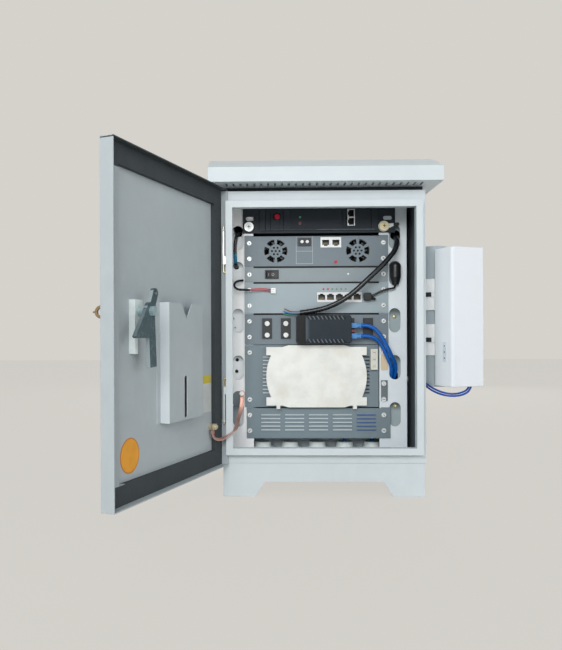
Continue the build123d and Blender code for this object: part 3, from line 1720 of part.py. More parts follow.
jacket_route = (
    (-119.0, 86.0, 349.0),
    (-126.0, 76.5, 347.5),
    (-137.5, 66.0, 345.8),
    (-143.1, 60.0, 338.3),
    (-137.5, 54.0, 330.8),
    (-127.0, 55.5, 330.2),
    jacket_end,
)

with BuildPart() as signal_jacket:
    cord(route_points(jacket_route), jacket_diameter)
save(signal_jacket.part, "signal_jacket")

jacket_x = jacket_end[0] + cord_gap
jacket_y, jacket_z = jacket_end[1:]
power_x = power_end[0] - cord_gap
power_y, power_z = power_end[1:]
wire_routes = (
    ((jacket_x, jacket_y - 0.9, jacket_z + 0.7), (-104.0, 57.6, 332.5), (-93.0, 60.5, 332.4), (-80.0, 66.6, 331.3)),
    ((jacket_x, jacket_y + 0.9, jacket_z - 0.7), (-104.0, 60.2, 330.2), (-91.0, 63.0, 330.0), (-79.5, 66.8, 327.2)),
    ((power_x, power_y, power_z + 2.0), (-43.0, 57.0, 293.4), (-51.0, 60.5, 294.6), (-57.5, 66.5, 299.0)),
    ((power_x, power_y - 1.8, power_z - 0.8), (-43.0, 55.4, 290.4), (-52.0, 59.5, 291.0), (-59.0, 66.0, 294.6)),
    ((power_x, power_y + 1.8, power_z - 1.2), (-43.0, 59.8, 289.4), (-52.5, 63.6, 289.0), (-60.5, 66.8, 290.6)),
)

with BuildPart() as thin_wires:
    for points in wire_routes:
        cord(route_points(points), wire_diameter)
save(thin_wires.part, "thin_wires")

antenna_routes = (
    (
        (247.0, 64.0, antenna_base_z - cord_gap),
        (246.0, 63.5, 160.5),
        (237.0, 62.5, 155.5),
        (223.0, 62.5, 153.5),
        (210.0, 66.0, 154.5),
        (199.0, 73.5, 158.0),
        (190.0, 84.0, 164.5),
        (184.0, 102.0, 172.0),
        (178.0, side_gland_setback - 2.6, side_gland_z - 0.3),
        (side_gland_x, side_gland_setback, side_gland_z + 1.8),
    ),
    (
        (251.0, 65.0, antenna_base_z - cord_gap),
        (249.8, 64.5, 158.0),
        (238.5, 62.8, 151.8),
        (223.0, 62.5, 149.8),
        (209.0, 66.0, 150.7),
        (197.5, 74.5, 154.2),
        (189.0, 85.5, 160.3),
        (183.5, 103.0, 167.8),
        (178.0, side_gland_setback - 2.0, side_gland_z - 4.7),
        (side_gland_x, side_gland_setback, side_gland_z - 1.8),
    ),
)

with BuildPart() as antenna_cable:
    for points in antenna_routes:
        cord(route_points(points), strand_diameter)
save(antenna_cable.part, "antenna_cable")

# Braid that earths the door: a lug on the door's stud, a woven strap and a lug on the left post

lug_radius = 5.0
lug_sheet = 1.5
stud_point = (stud_centre.X, stud_centre.Y - front_y, stud_z - lug_radius - 2.0)
braid_route = (
    stud_point,
    (-173.4, -32.4, 99.5),
    (-168.0, -28.5, 94.5),
    (-160.5, -22.0, 94.0),
    (-153.5, -17.6, 97.0),
    (-147.0, -16.2, 101.5),
    (-139.8, -13.8, 106.5),
    (-138.0, -1.0, 109.5),
    (-137.5, 18.0, 110.5),
    (-137.0, 38.0, 113.0),
    (-134.5, 54.0, 120.5),
    (-131.2, 63.5, 132.5),
    (-129.7, 66.6, 144.0),
    (braid_post[0], braid_post[1] + 0.3, braid_post[2] - lug_radius - 0.6),
)

with BuildPart() as earth_braid:
    cord(route_points(braid_route), braid_diameter)
    with BuildSketch(door_face(stud_out - lug_sheet / 2)):
        with Locations((stud_along, stud_z)):
            Circle(lug_radius)
            Circle(stud_radius + 0.2, mode=Mode.SUBTRACT)
        with Locations((stud_along, stud_z - lug_radius + 1.5)):
            Rectangle(braid_diameter + 2.0, 6.5, align=(Align.CENTER, Align.MAX))
    extrude(amount=-lug_sheet)
    with BuildSketch(facing(rack_y)):
        with Locations((braid_post[0], braid_post[2])):
            Circle(lug_radius)
            Circle(bond_screw_radius + 0.2, mode=Mode.SUBTRACT)
        with Locations((braid_post[0], braid_post[2] - lug_radius + 1.0)):
            Rectangle(braid_diameter + 2.0, 6.0, align=(Align.CENTER, Align.MAX))
    extrude(amount=lug_sheet)
save(earth_braid.part, "earth_braid")
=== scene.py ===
import math
import random

import bmesh
import bpy
from mathutils import Matrix, Vector


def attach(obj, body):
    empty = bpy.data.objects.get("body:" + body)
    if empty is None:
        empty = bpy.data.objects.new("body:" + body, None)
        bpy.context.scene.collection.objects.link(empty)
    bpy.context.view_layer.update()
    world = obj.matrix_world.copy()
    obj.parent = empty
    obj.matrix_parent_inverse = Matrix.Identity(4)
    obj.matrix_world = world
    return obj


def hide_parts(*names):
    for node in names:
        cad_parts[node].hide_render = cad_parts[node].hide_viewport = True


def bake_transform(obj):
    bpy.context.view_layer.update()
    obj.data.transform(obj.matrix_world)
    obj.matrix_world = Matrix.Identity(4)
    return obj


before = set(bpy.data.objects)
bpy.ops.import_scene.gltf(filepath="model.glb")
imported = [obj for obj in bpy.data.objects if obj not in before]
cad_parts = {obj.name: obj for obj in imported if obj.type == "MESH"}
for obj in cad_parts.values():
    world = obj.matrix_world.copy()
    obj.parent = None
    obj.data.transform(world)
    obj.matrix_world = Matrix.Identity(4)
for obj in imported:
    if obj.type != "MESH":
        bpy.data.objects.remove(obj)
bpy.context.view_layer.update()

# Roadside equipment cabinet: looks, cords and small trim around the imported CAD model. Metres throughout.
random.seed(7)
MM = 0.001
scene = bpy.context.scene
scene.view_settings.view_transform = "Standard"

# ---------------------------------------------------------------- camera, at the photograph's viewing angle
YAW, ROLL = math.radians(-1.34), math.radians(-0.2)
CAMERA_PLACE = (-0.1189, -1.1869, 0.2542)
forward = Vector((math.sin(YAW), math.cos(YAW), -0.0002)).normalized()
level_right = Vector((math.cos(YAW), -math.sin(YAW), 0))
level_up = level_right.cross(forward)
right = level_right * math.cos(ROLL) + level_up * math.sin(ROLL)
up = level_up * math.cos(ROLL) - level_right * math.sin(ROLL)
camera = bpy.data.objects.new("camera", bpy.data.cameras.new("camera"))
scene.collection.objects.link(camera)
turn = Matrix((right, up, -forward)).transposed().to_4x4()
camera.matrix_world = Matrix.Translation(CAMERA_PLACE) @ turn
camera.data.sensor_width = 36.0
camera.data.lens = 37.78
camera.data.shift_x = 0.0752
camera.data.shift_y = 0.0166
camera.data.clip_start = 0.01
scene.camera = camera

# ---------------------------------------------------------------- places on the object
DOOR_ANGLE = math.radians(-112)  # opened away from the cabinet's front, about the vertical
ANTENNA_ANGLE = math.radians(22)
HINGE = Vector((-0.157, -0.1175, 0.0))
ALONG = Vector((math.cos(DOOR_ANGLE), math.sin(DOOR_ANGLE), 0))
INWARD = Vector((-ALONG.y, ALONG.x, 0))
FRONT = -0.110
ANTENNA_CORNER = Vector((0.2124, -0.0727, 0.0))
ANTENNA_ACROSS = Vector((math.cos(ANTENNA_ANGLE), math.sin(ANTENNA_ANGLE), 0))
ANTENNA_DEEP = Vector((-ANTENNA_ACROSS.y, ANTENNA_ACROSS.x, 0))
POLE = Vector((0.2040, 0.0015, 0.0))
UP = Vector((0, 0, 1))
# millimetres: the rack's first row and its pitch, and how far things stand out on FACE
RACK_BASE, ROW_PITCH = 81.4, 26.2
LINER_BACK, LINER_FRONT = 34.2, 35.2
PANEL_FACE = 42.0
SCREW_FACE = 43.3
OUTLET_FACE = 44.5
KNOB_FACE = 47.6
INJECTOR_FACE = 70.5
LIP_FACE = 121.6
DOOR_SKIN = -11.5  # inner face of the door's skin, through the door


def placing(first, second, third, origin=(0, 0, 0)):
    """Matrix that takes millimetres along three directions to metres in the frame."""
    made = Matrix((first, second, third)).transposed().to_4x4() @ Matrix.Scale(MM, 4)
    return Matrix.Translation(origin) @ made


# x across, y up, z out of the front; the same on the door's inner face, with x from the hinge; and on the antenna
FACE = placing(Vector((1, 0, 0)), UP, Vector((0, -1, 0)))
DOOR = placing(ALONG, UP, INWARD, HINGE)
ANTENNA_SIDE = placing(ANTENNA_DEEP, UP, -ANTENNA_ACROSS, ANTENNA_CORNER)
ANTENNA_PLAN = placing(ANTENNA_ACROSS, ANTENNA_DEEP, UP, POLE)


# ---------------------------------------------------------------- materials
def linear(red, green, blue):
    """Colour written as 0 to 255 values on screen."""
    def one(v):
        v = v / 255
        return v / 12.92 if v <= 0.04045 else ((v + 0.055) / 1.055) ** 2.4
    return (one(red), one(green), one(blue), 1.0)


class Material:
    """A node material whose colour, roughness and bump come from object-space textures."""

    def __init__(self, name, colour, roughness=0.5, metallic=0.0, **sockets):
        self.data = bpy.data.materials.new(name)
        self.data.use_nodes = True
        self.tree = self.data.node_tree
        self.shader = self.tree.nodes["Principled BSDF"]
        self.shader.inputs["Base Color"].default_value = colour
        self.shader.inputs["Roughness"].default_value = roughness
        self.shader.inputs["Metallic"].default_value = metallic
        for socket, value in sockets.items():
            self.shader.inputs[socket.replace("_", " ")].default_value = value
        self.colour = None
        self.base = colour
        self.normal = None
        self.place = self.node("ShaderNodeTexCoord").outputs["Object"]

    def node(self, kind, **settings):
        made = self.tree.nodes.new(kind)
        for key, value in settings.items():
            setattr(made, key, value)
        return made

    def link(self, a, b):
        self.tree.links.new(a, b)

    def stretched(self, scale):
        mapping = self.node("ShaderNodeMapping")
        mapping.inputs["Scale"].default_value = scale
        self.link(self.place, mapping.inputs["Vector"])
        return mapping.outputs["Vector"]

    def noise(self, scale, detail=3.0, stretch=None, rough=0.55):
        made = self.node("ShaderNodeTexNoise")
        made.inputs["Scale"].default_value = scale
        made.inputs["Detail"].default_value = detail
        made.inputs["Roughness"].default_value = rough
        self.link(self.stretched(stretch) if stretch else self.place, made.inputs["Vector"])
        return made.outputs["Fac"]

    def ramp(self, value, low, high, first=(0, 0, 0, 1), last=(1, 1, 1, 1)):
        made = self.node("ShaderNodeValToRGB")
        made.color_ramp.elements[0].position, made.color_ramp.elements[1].position = low, high
        made.color_ramp.elements[0].color, made.color_ramp.elements[1].color = first, last
        self.link(value, made.inputs["Fac"])
        return made.outputs["Color"]

    def tint(self, value, colour, amount=1.0, low=0.4, high=0.6):
        """Mixes another colour in where a texture is high."""
        mix = self.node("ShaderNodeMix", data_type="RGBA")
        mask = self.ramp(value, low, high, (0, 0, 0, 1), (amount, amount, amount, 1))
        self.link(mask, mix.inputs["Factor"])
        if self.colour is None:
            mix.inputs[6].default_value = self.base
        else:
            self.link(self.colour, mix.inputs[6])
        mix.inputs[7].default_value = colour
        self.colour = mix.outputs[2]
        self.link(self.colour, self.shader.inputs["Base Color"])
        return self

    def vector(self, operation, value, constant=None):
        made = self.node("ShaderNodeVectorMath", operation=operation)
        self.link(value, made.inputs[0])
        if constant is not None:
            made.inputs[1].default_value = constant
        return made.outputs["Value" if operation == "LENGTH" else "Vector"]

    def falling(self, value, border, soft):
        """1 below a border, 0 above it."""
        made = self.node("ShaderNodeMapRange")
        made.inputs["From Min"].default_value = border - soft / 2
        made.inputs["From Max"].default_value = border + soft / 2
        made.inputs["To Min"].default_value = 1.0
        made.inputs["To Max"].default_value = 0.0
        self.link(value, made.inputs["Value"])
        return made.outputs["Result"]

    def on_door(self):
        """Place on the door: a along it from the hinge, b through it, z up."""
        made = self.node("ShaderNodeMapping")
        made.inputs["Rotation"].default_value = (0, 0, -DOOR_ANGLE)
        made.inputs["Location"].default_value = (-HINGE.dot(ALONG), -HINGE.dot(INWARD), 0)
        self.link(self.place, made.inputs["Vector"])
        return made.outputs["Vector"]

    def facing(self, direction, colour, amount=1.0, low=0.75, high=0.9):
        """Another colour where the surface faces a direction of the frame."""
        normal = self.place.node.outputs["Normal"]
        made = self.node("ShaderNodeVectorMath", operation="DOT_PRODUCT")
        self.link(normal, made.inputs[0])
        made.inputs[1].default_value = direction
        return self.tint(made.outputs["Value"], colour, amount, low, high)

    def patch(self, colour, low, high, soft=0.3, amount=1.0, space=None):
        """Another colour inside a box of the frame, given in millimetres."""
        middle = [(a + b) / 2 * MM for a, b in zip(low, high)]
        half = [(b - a) / 2 * MM for a, b in zip(low, high)]
        away = self.vector("SUBTRACT", space or self.place, middle)
        past = self.vector("SUBTRACT", self.vector("ABSOLUTE", away), half)
        parts = self.node("ShaderNodeSeparateXYZ")
        self.link(past, parts.inputs[0])
        furthest = parts.outputs[0]
        for part in parts.outputs[1:]:
            larger = self.node("ShaderNodeMath", operation="MAXIMUM")
            self.link(furthest, larger.inputs[0])
            self.link(part, larger.inputs[1])
            furthest = larger.outputs[0]
        return self.tint(self.falling(furthest, 0.0, soft * MM), colour, amount, 0.0, 1.0)

    def spot(self, colour, middle, radius, soft=0.3, amount=1.0, flat=(1, 0, 1)):
        """Another colour inside a circle seen along the direction that flat leaves out."""
        away = self.vector("SUBTRACT", self.place, [c * MM for c in middle])
        reach = self.vector("LENGTH", self.vector("MULTIPLY", away, flat))
        return self.tint(self.falling(reach, radius * MM, soft * MM), colour, amount, 0.0, 1.0)

    def vary_roughness(self, value, least, most):
        spread = self.node("ShaderNodeMapRange")
        spread.inputs["To Min"].default_value = least
        spread.inputs["To Max"].default_value = most
        self.link(value, spread.inputs["Value"])
        self.link(spread.outputs["Result"], self.shader.inputs["Roughness"])
        return self

    def bump(self, value, height, strength=1.0):
        made = self.node("ShaderNodeBump")
        made.inputs["Strength"].default_value = strength
        made.inputs["Distance"].default_value = height
        self.link(value, made.inputs["Height"])
        if self.normal is not None:
            self.link(self.normal, made.inputs["Normal"])
        self.normal = made.outputs["Normal"]
        self.link(self.normal, self.shader.inputs["Normal"])
        return self

    def soft_edges(self, radius):
        """Shades sharp sheet edges as slightly rounded ones."""
        made = self.node("ShaderNodeBevel", samples=4)
        made.inputs["Radius"].default_value = radius
        self.normal = made.outputs["Normal"]
        self.link(self.normal, self.shader.inputs["Normal"])
        return self


def shade(colour, factor):
    return tuple(min(1.0, c * factor) for c in colour[:3]) + (1.0,)


def paint(name, colour, roughness=0.42, grime=0.2, texture=0.00012):
    """Powder coat: fine orange peel, faint clouding and a little dust."""
    made = Material(name, colour, roughness, Specular_IOR_Level=0.3)
    made.soft_edges(0.0007)
    made.tint(made.noise(5.0, 5.0), shade(colour, 0.93), 0.7, 0.42, 0.66)
    made.tint(made.noise(38.0, 6.0), shade(colour, 1.05), 0.5, 0.45, 0.7)
    made.tint(made.noise(16.0, 8.0, (1.0, 1.0, 0.35)), linear(150, 146, 134), grime, 0.62, 0.88)
    made.vary_roughness(made.noise(70.0, 4.0), roughness - 0.06, roughness + 0.12)
    made.bump(made.noise(900.0, 2.0), texture, 0.8)
    return made


def plastic(name, colour, roughness=0.45, speck=0.35, texture=0.00006, cloud=0.86, **sockets):
    """Moulded plastic: fine grain, slight clouding, dust on dark colours."""
    made = Material(name, colour, roughness, **sockets)
    made.tint(made.noise(45.0, 5.0), shade(colour, cloud), 0.8, 0.4, 0.65)
    made.tint(made.noise(420.0, 6.0), shade(colour, 1.25), speck, 0.62, 0.8)
    made.vary_roughness(made.noise(120.0, 4.0), roughness - 0.08, roughness + 0.12)
    made.bump(made.noise(1500.0, 2.0), texture, 0.7)
    return made


def metal(name, colour, roughness=0.3, stretch=(1.0, 1.0, 14.0), stain=None, metallic=1.0):
    """Plated or brushed metal: fine scratches along one direction and dull patches."""
    made = Material(name, colour, roughness, metallic)
    made.soft_edges(0.0003)
    made.tint(made.noise(60.0, 5.0), shade(colour, 0.78), 0.8, 0.42, 0.72)
    if stain:
        made.tint(made.noise(150.0, 6.0), stain, 0.75, 0.5, 0.68)
    made.vary_roughness(made.noise(180.0, 6.0, stretch), roughness - 0.1, roughness + 0.18)
    made.bump(made.noise(700.0, 4.0, stretch), 0.00004, 0.6)
    return made


def jacket(name, colour, roughness=0.34):
    """Extruded cable jacket."""
    made = Material(name, colour, roughness)
    made.tint(made.noise(80.0, 4.0), shade(colour, 0.8), 0.7, 0.4, 0.65)
    made.tint(made.noise(500.0, 6.0), shade(colour, 1.5), 0.3, 0.6, 0.8)
    made.vary_roughness(made.noise(200.0, 3.0), roughness - 0.08, roughness + 0.1)
    made.bump(made.noise(900.0, 3.0), 0.00002, 0.5)
    return made


def dress(material, *nodes):
    for node in nodes:
        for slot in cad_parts[node].material_slots:
            slot.link = "OBJECT"
            slot.material = material.data


PAINT = linear(205, 214, 218)
cabinet_paint = paint("cabinet_paint", PAINT, 0.36)
# the whole door takes a darker copy of the cabinet paint: painted shade for its inner face, which faces away from the
# light
door_shaded_paint = paint("door_shaded_paint", linear(178, 187, 191), 0.4)
# the left post is painted whiter than the right post: painted light
left_post_lit_paint = paint("left_post_lit_paint", linear(255, 255, 255), 0.4, 0.02)
right_post_paint = paint("right_post_paint", linear(232, 240, 244), 0.4, 0.1)
module_paint = paint("module_paint", linear(122, 134, 142), 0.45, 0.1, 0.00008)
fan_paint = paint("fan_paint", linear(122, 134, 142), 0.45, 0.1, 0.00008)
power_paint = paint("power_paint", linear(146, 157, 162), 0.45, 0.1, 0.00008)
network_paint = paint("network_paint", linear(162, 176, 182), 0.45, 0.1, 0.00008)
splice_paint = paint("splice_paint", linear(124, 139, 146), 0.45, 0.1, 0.00008)
controller_paint = paint("controller_paint", linear(42, 50, 58), 0.5, 0.1, 0.0001)
foam = plastic("foam", linear(60, 67, 71), 0.9, 0.3, 0.0005)
seal_foam = plastic("seal_foam", linear(44, 52, 58), 0.9, 0.3, 0.0004)
black_plastic = plastic("black_plastic", linear(34, 38, 42), 0.42, 0.2)
gloss_black = plastic("gloss_black", linear(20, 23, 27), 0.34, 0.05, 0.00001)
white_plastic = plastic("white_plastic", linear(240, 243, 242), 0.35, 0.1)
cream_plastic = plastic("cream_plastic", linear(222, 220, 208), 0.4, 0.2)
zinc = metal("zinc", (0.86, 0.87, 0.86, 1), 0.3, metallic=0.55)
bright_zinc = metal("bright_zinc", (0.92, 1.0, 1.0, 1), 0.3, metallic=0.1)
steel = metal("steel", (0.52, 0.68, 0.70, 1), 0.28, metallic=0.7)
dark_steel = metal("dark_steel", (0.10, 0.15, 0.17, 1), 0.36, stain=(0.16, 0.24, 0.27, 1), metallic=0.6)
# painted highlight on the lock cam's faces turned along the door
dark_steel.facing(ALONG, (0.50, 0.58, 0.60, 1), 0.9)
bronze = metal("bronze", (0.38, 0.27, 0.16, 1), 0.36, metallic=0.8)
brass = metal("brass", (0.86, 0.74, 0.44, 1), 0.28, metallic=0.8)
copper = metal("copper", (0.66, 0.38, 0.32, 1), 0.36, metallic=0.7)
# dark grey drawn in screw slots and crosses: painted shade
slot_shade = plastic("slot_shade", linear(70, 76, 78), 0.6, 0.2)
gap_shade = plastic("gap_shade", linear(12, 14, 16), 0.7, 0.1)
gold = metal("gold", (0.40, 0.30, 0.14, 1), 0.4)

# the pocket takes the door's shaded colour as painted shade, and painted light on its sides that face along the door
pocket_shaded_lit_paint = paint("pocket_shaded_lit_paint", linear(178, 187, 191), 0.4)
pocket_shaded_lit_paint.facing(ALONG, linear(222, 230, 234), 0.9)
# painted shade: the underside and inner edge of the door's top return are painted dark; the seal along the free edge
# is painted near the door's shaded colour, so it reads narrower
for low, high in (((-20, -12.6, 481.6), (330, 20, 483.2)), ((-20, 4.2, 481.6), (330, 20, 485.0))):
    door_shaded_paint.patch(linear(64, 72, 74), low, high, 0.2, 1.0, door_shaded_paint.on_door())
foam.patch(linear(170, 179, 183), (280, -20, 77.0), (305.5, 20, 453.5), 0.4, 1.0, foam.on_door())
# painted highlight on the louvres of the louvre panel and at the left of the splice module; painted shade on those at
# the right of the splice module; the louvre panel's right group shows a lead behind them
splice_paint.patch(linear(206, 216, 220), (-120, -60, 60), (60, -42.2, 132), 1.0, 0.95)
splice_paint.patch(linear(60, 92, 156), (60, -60, 60), (110, -42.2, 132), 1.0, 0.8)
splice_paint.patch(linear(226, 232, 234), (-110, -60, 140), (-60, -42.3, 240), 0.6, 0.95)
splice_paint.patch(linear(34, 42, 46), (60, -60, 140), (110, -42.3, 240), 0.6, 0.95)
# the right wall's inside is in the shade of the front border
cabinet_paint.patch(linear(96, 106, 112), (134, -104, 60), (159.3, 120, 480), 0.3, 0.9)
# printed frame on the fan module
for low, high in (
    ((-38, -45, 374), (-10, -41, 374.6)), ((-38, -45, 420.4), (-10, -41, 421)), ((-38, -45, 395), (-10, -41, 395.6)),
    ((-38, -45, 374), (-37.4, -41, 421)), ((-10.6, -45, 374), (-10, -41, 421)),
):
    fan_paint.patch(linear(196, 204, 208), low, high, 0.2, 0.8)
# the controller's lower half catches more light
controller_paint.patch(linear(84, 94, 102), (-102, -60, 424), (98, -44.9, 431), 2.0, 0.7)

splice_white = plastic("tray_paint", linear(236, 237, 232), 0.5, 0.1)
splice_white.tint(splice_white.noise(24.0, 6.0), linear(222, 218, 206), 0.7, 0.5, 0.7)
splice_white.tint(splice_white.noise(9.0, 3.0), linear(248, 248, 244), 0.6, 0.5, 0.7)

rocker_black = plastic("rocker_black", linear(26, 28, 31), 0.3, 0.1)
rocker_black.patch(linear(176, 180, 180), (-84.3, -60, 354.3), (-83.7, -30, 358.7), 0.15)
rocker_black.spot(linear(176, 180, 180), (-77, 0, 356.5), 2.1, 0.15)
rocker_black.spot(linear(26, 28, 31), (-77, 0, 356.5), 1.6, 0.15)

lamp_plastic = plastic("lamp_plastic", linear(196, 52, 60), 0.25, 0.1)
lamp_plastic.spot(linear(120, 60, 66), (-31.4, 0, 441.9), 3.0)
lamp_plastic.spot(linear(96, 190, 130), (-31.4, 0, 451.9), 3.0)
lamp_plastic.spot(linear(232, 236, 234), (48.8, 0, 356.8), 3.0)
lamp_plastic.patch(linear(120, 150, 128), (18, -60, 326), (50, -30, 337))

adapter_black = plastic("adapter_black", linear(30, 42, 52), 0.34, 0.1, 0.00003, Specular_IOR_Level=0.3)
# painted shade on the left end block
adapter_black.patch(linear(12, 15, 18), (-45, -90, 238), (-25, -40, 290), 0.5)
# painted highlight along the end block's bevel
adapter_black.patch(linear(74, 86, 94), (-28.0, -90, 246), (-20.0, -40, 284), 5.0, 0.8)
# painted shade in the grooves and on the sides behind the front face
adapter_black.patch(linear(12, 15, 18), (-60, -69.6, 230), (60, -40, 300), 0.3)

ports_metal = metal("ports_metal", (0.90, 0.92, 0.92, 1), 0.3, metallic=0.5)
ports_metal.patch(linear(16, 18, 20), (30, -44.6, 420), (80, 0, 480), 0.2)
jack_plastic = plastic("jack_plastic", linear(238, 240, 240), 0.35, 0.1)
# painted shade inside the jacks' openings
jack_plastic.patch(linear(60, 66, 70), (-40, -41.6, 300), (90, 0, 430), 0.3)

ears_paint = paint("ears_paint", linear(112, 122, 126), 0.45, 0.1)
ears_paint.patch(linear(222, 200, 168), (98, -60, 190), (118, -20, 235), 0.4)

gland_plastic = plastic("gland_plastic", linear(232, 240, 238), 0.5, 0.1)
gland_plastic.patch(linear(110, 118, 116), (-160, -60, 40), (160, 30, 60), 5.0, 0.8)
gland_plastic.patch(linear(206, 214, 216), (160, -60, 150), (200, 60, 210), 0.5)

barrel_metal = metal("barrel_metal", (0.90, 0.92, 0.92, 1), 0.3, metallic=0.5)
barrel_metal.patch(linear(196, 206, 210), (-200, -200, 100), (-100, 0, 200), 1.0, 0.9)

stud_metal = metal("stud_metal", (0.80, 0.72, 0.50, 1), 0.3, metallic=0.7)

screw_metal = metal("screw_metal", (0.93, 0.95, 0.95, 1), 0.3, metallic=0.3)
screw_metal.spot((0.90, 0.80, 0.56, 1), (108, 0, 436), 9.0)

antenna_case = plastic("antenna_case", linear(224, 229, 235), 0.4, 0.03, cloud=0.985)
# painted light on the side face turned to the left and front
antenna_case.facing(-ANTENNA_ACROSS, linear(248, 252, 255), 0.95, 0.6, 0.95)
pole_paint = paint("pole_paint", linear(184, 194, 198), 0.4)
saddle_white = plastic("saddle_white", linear(255, 255, 255), 0.35, 0.0, cloud=0.98)
patch_blue = plastic("patch_blue", linear(92, 158, 226), 0.22, 0.2, Transmission_Weight=0.25)

dress(cabinet_paint, "cabinet_shell", "plinth", "rain_hood", "hood_vent_plate", "hinge_ears")
dress(left_post_lit_paint, "rack_post_left")
dress(right_post_paint, "rack_post_right")
dress(pocket_shaded_lit_paint, "document_pocket")
dress(door_shaded_paint, "door_panel")
dress(fan_paint, "fan_panel")
dress(power_paint, "power_panel")
dress(module_paint, "outlet_panel")
dress(network_paint, "network_panel")
dress(splice_paint, "splice_module", "louvre_panel")
dress(controller_paint, "controller_chassis")
dress(foam, "door_gasket")
dress(seal_foam, "hood_seal")
dress(black_plastic, "fan_frames", "fan_rotor_left", "fan_rotor_right", "rocker_bezel", "outlet_modules",
      "fibre_adapter", "antenna_straps")
dress(gloss_black, "inline_connector", "dc_plug")
dress(rocker_black, "rocker_switch")
dress(adapter_black, "poe_adapter")
dress(white_plastic, "white_caps")
dress(saddle_white, "antenna_saddles")
dress(jack_plastic, "ethernet_jacks")
dress(cream_plastic, "terminal_block")
dress(splice_white, "splice_tray")
dress(barrel_metal, "hinge_barrels")
dress(screw_metal, "panel_screws")
dress(bright_zinc, "lock_housing")
dress(ports_metal, "controller_ports")
dress(stud_metal, "door_earth_stud")
dress(steel, "lock_spindle")
dress(brass, "hinge_pin_upper", "hinge_pin_lower")
dress(dark_steel, "lock_cam")
dress(bronze, "lock_key")
dress(pole_paint, "antenna_pole")
dress(ears_paint, "splice_ears")
dress(antenna_case, "antenna_housing")
dress(gland_plastic, "cable_glands")
dress(plastic("red_plastic", linear(200, 30, 60), 0.3, 0.1), "power_button")
dress(patch_blue, "patch_plugs")
dress(lamp_plastic, "indicator_lamps")


# ---------------------------------------------------------------- mesh helpers, in millimetres
def rounded(x, y, width, height, radius, steps=6):
    """Outline of a rectangle with rounded corners."""
    outline = []
    for side, (sx, sy) in enumerate(((1, 1), (-1, 1), (-1, -1), (1, -1))):
        cx, cy = x + sx * (width / 2 - radius), y + sy * (height / 2 - radius)
        for step in range(steps + 1):
            angle = math.radians(90 * side + 90 * step / steps)
            outline.append((cx + radius * math.cos(angle), cy + radius * math.sin(angle)))
    return outline


def prism(bm, outline, low, high, holes=(), kind=0):
    """Flat sheet with holes between two heights."""
    edges = []
    for loop in (outline, *holes):
        verts = [bm.verts.new((x, y, low)) for x, y in loop]
        edges += [bm.edges.new((a, b)) for a, b in zip(verts, verts[1:] + verts[:1])]
    faces = [f for f in bmesh.ops.triangle_fill(bm, use_beauty=True, edges=edges)["geom"]
             if isinstance(f, bmesh.types.BMFace)]
    top = bmesh.ops.extrude_face_region(bm, geom=faces)["geom"]
    bmesh.ops.translate(bm, vec=(0, 0, high - low), verts=[v for v in top if isinstance(v, bmesh.types.BMVert)])
    for face in faces:
        face.material_index = kind
    for item in top:
        if isinstance(item, bmesh.types.BMFace):
            item.material_index = kind
            for edge in item.edges:
                for face in edge.link_faces:
                    face.material_index = kind


def slab(bm, x, y, width, height, low, high, kind=0):
    prism(bm, [(x - width / 2, y - height / 2), (x + width / 2, y - height / 2),
               (x + width / 2, y + height / 2), (x - width / 2, y + height / 2)], low, high, kind=kind)


def turned(bm, profile, x=0.0, y=0.0, steps=28, kind=0):
    """Round form from a profile of radius and height, closed at both ends."""
    rings = []
    for radius, height in profile:
        if radius < 1e-4:
            rings.append([bm.verts.new((x, y, height))])
        else:
            rings.append([bm.verts.new((x + radius * math.cos(2 * math.pi * s / steps),
                                        y + radius * math.sin(2 * math.pi * s / steps), height))
                          for s in range(steps)])
    made = []
    for lower, upper in zip(rings, rings[1:]):
        for s in range(steps):
            t = (s + 1) % steps
            if len(lower) == 1:
                made.append(bm.faces.new((lower[0], upper[t], upper[s])))
            elif len(upper) == 1:
                made.append(bm.faces.new((lower[s], lower[t], upper[0])))
            else:
                made.append(bm.faces.new((lower[s], lower[t], upper[t], upper[s])))
    for ring in (rings[0], rings[-1]):
        if len(ring) > 1:
            made.append(bm.faces.new(ring))
    for face in made:
        face.material_index = kind


def piece(name, body, place, materials, build, bevel=0.0, smooth=False):
    """Mesh piece riding on a body."""
    mesh = bpy.data.meshes.new(name)
    bm = bmesh.new()
    build(bm)
    bmesh.ops.transform(bm, matrix=place, verts=bm.verts)
    bmesh.ops.recalc_face_normals(bm, faces=bm.faces)
    if smooth:
        for face in bm.faces:
            face.smooth = True
        for edge in bm.edges:
            if len(edge.link_faces) == 2 and edge.calc_face_angle() > math.radians(35):
                edge.smooth = False
    bm.to_mesh(mesh)
    bm.free()
    for material in materials:
        mesh.materials.append(material.data)
    made = bpy.data.objects.new(name, mesh)
    scene.collection.objects.link(made)
    if bevel:
        edge = made.modifiers.new("bevel", "BEVEL")
        edge.width = bevel * MM
        edge.segments = 2
        edge.limit_method = "ANGLE"
        edge.angle_limit = math.radians(40)
    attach(made, body)
    return made


def circle(x, y, radius, steps=20):
    return [(x + radius * math.cos(2 * math.pi * s / steps), y + radius * math.sin(2 * math.pi * s / steps))
            for s in range(steps)]


# ---------------------------------------------------------------- cords
def curve(name, points, diameter, material, body="cabinet"):
    """Round cord along one smooth NURBS line."""
    data = bpy.data.curves.new(name, "CURVE")
    data.dimensions = "3D"
    data.bevel_depth = diameter / 2 * MM
    data.bevel_resolution = 5
    data.resolution_u = 10
    data.use_fill_caps = diameter > 0
    spline = data.splines.new("NURBS")
    spline.points.add(len(points) - 1)
    for point, place in zip(spline.points, points):
        point.co = (place[0] * MM, FRONT + place[1] * MM, place[2] * MM, 1.0)
    spline.order_u = 3
    spline.use_endpoint_u = True
    if material:
        data.materials.append(material.data)
    made = bpy.data.objects.new(name, data)
    scene.collection.objects.link(made)
    if diameter > 0:
        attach(made, body)
    return made


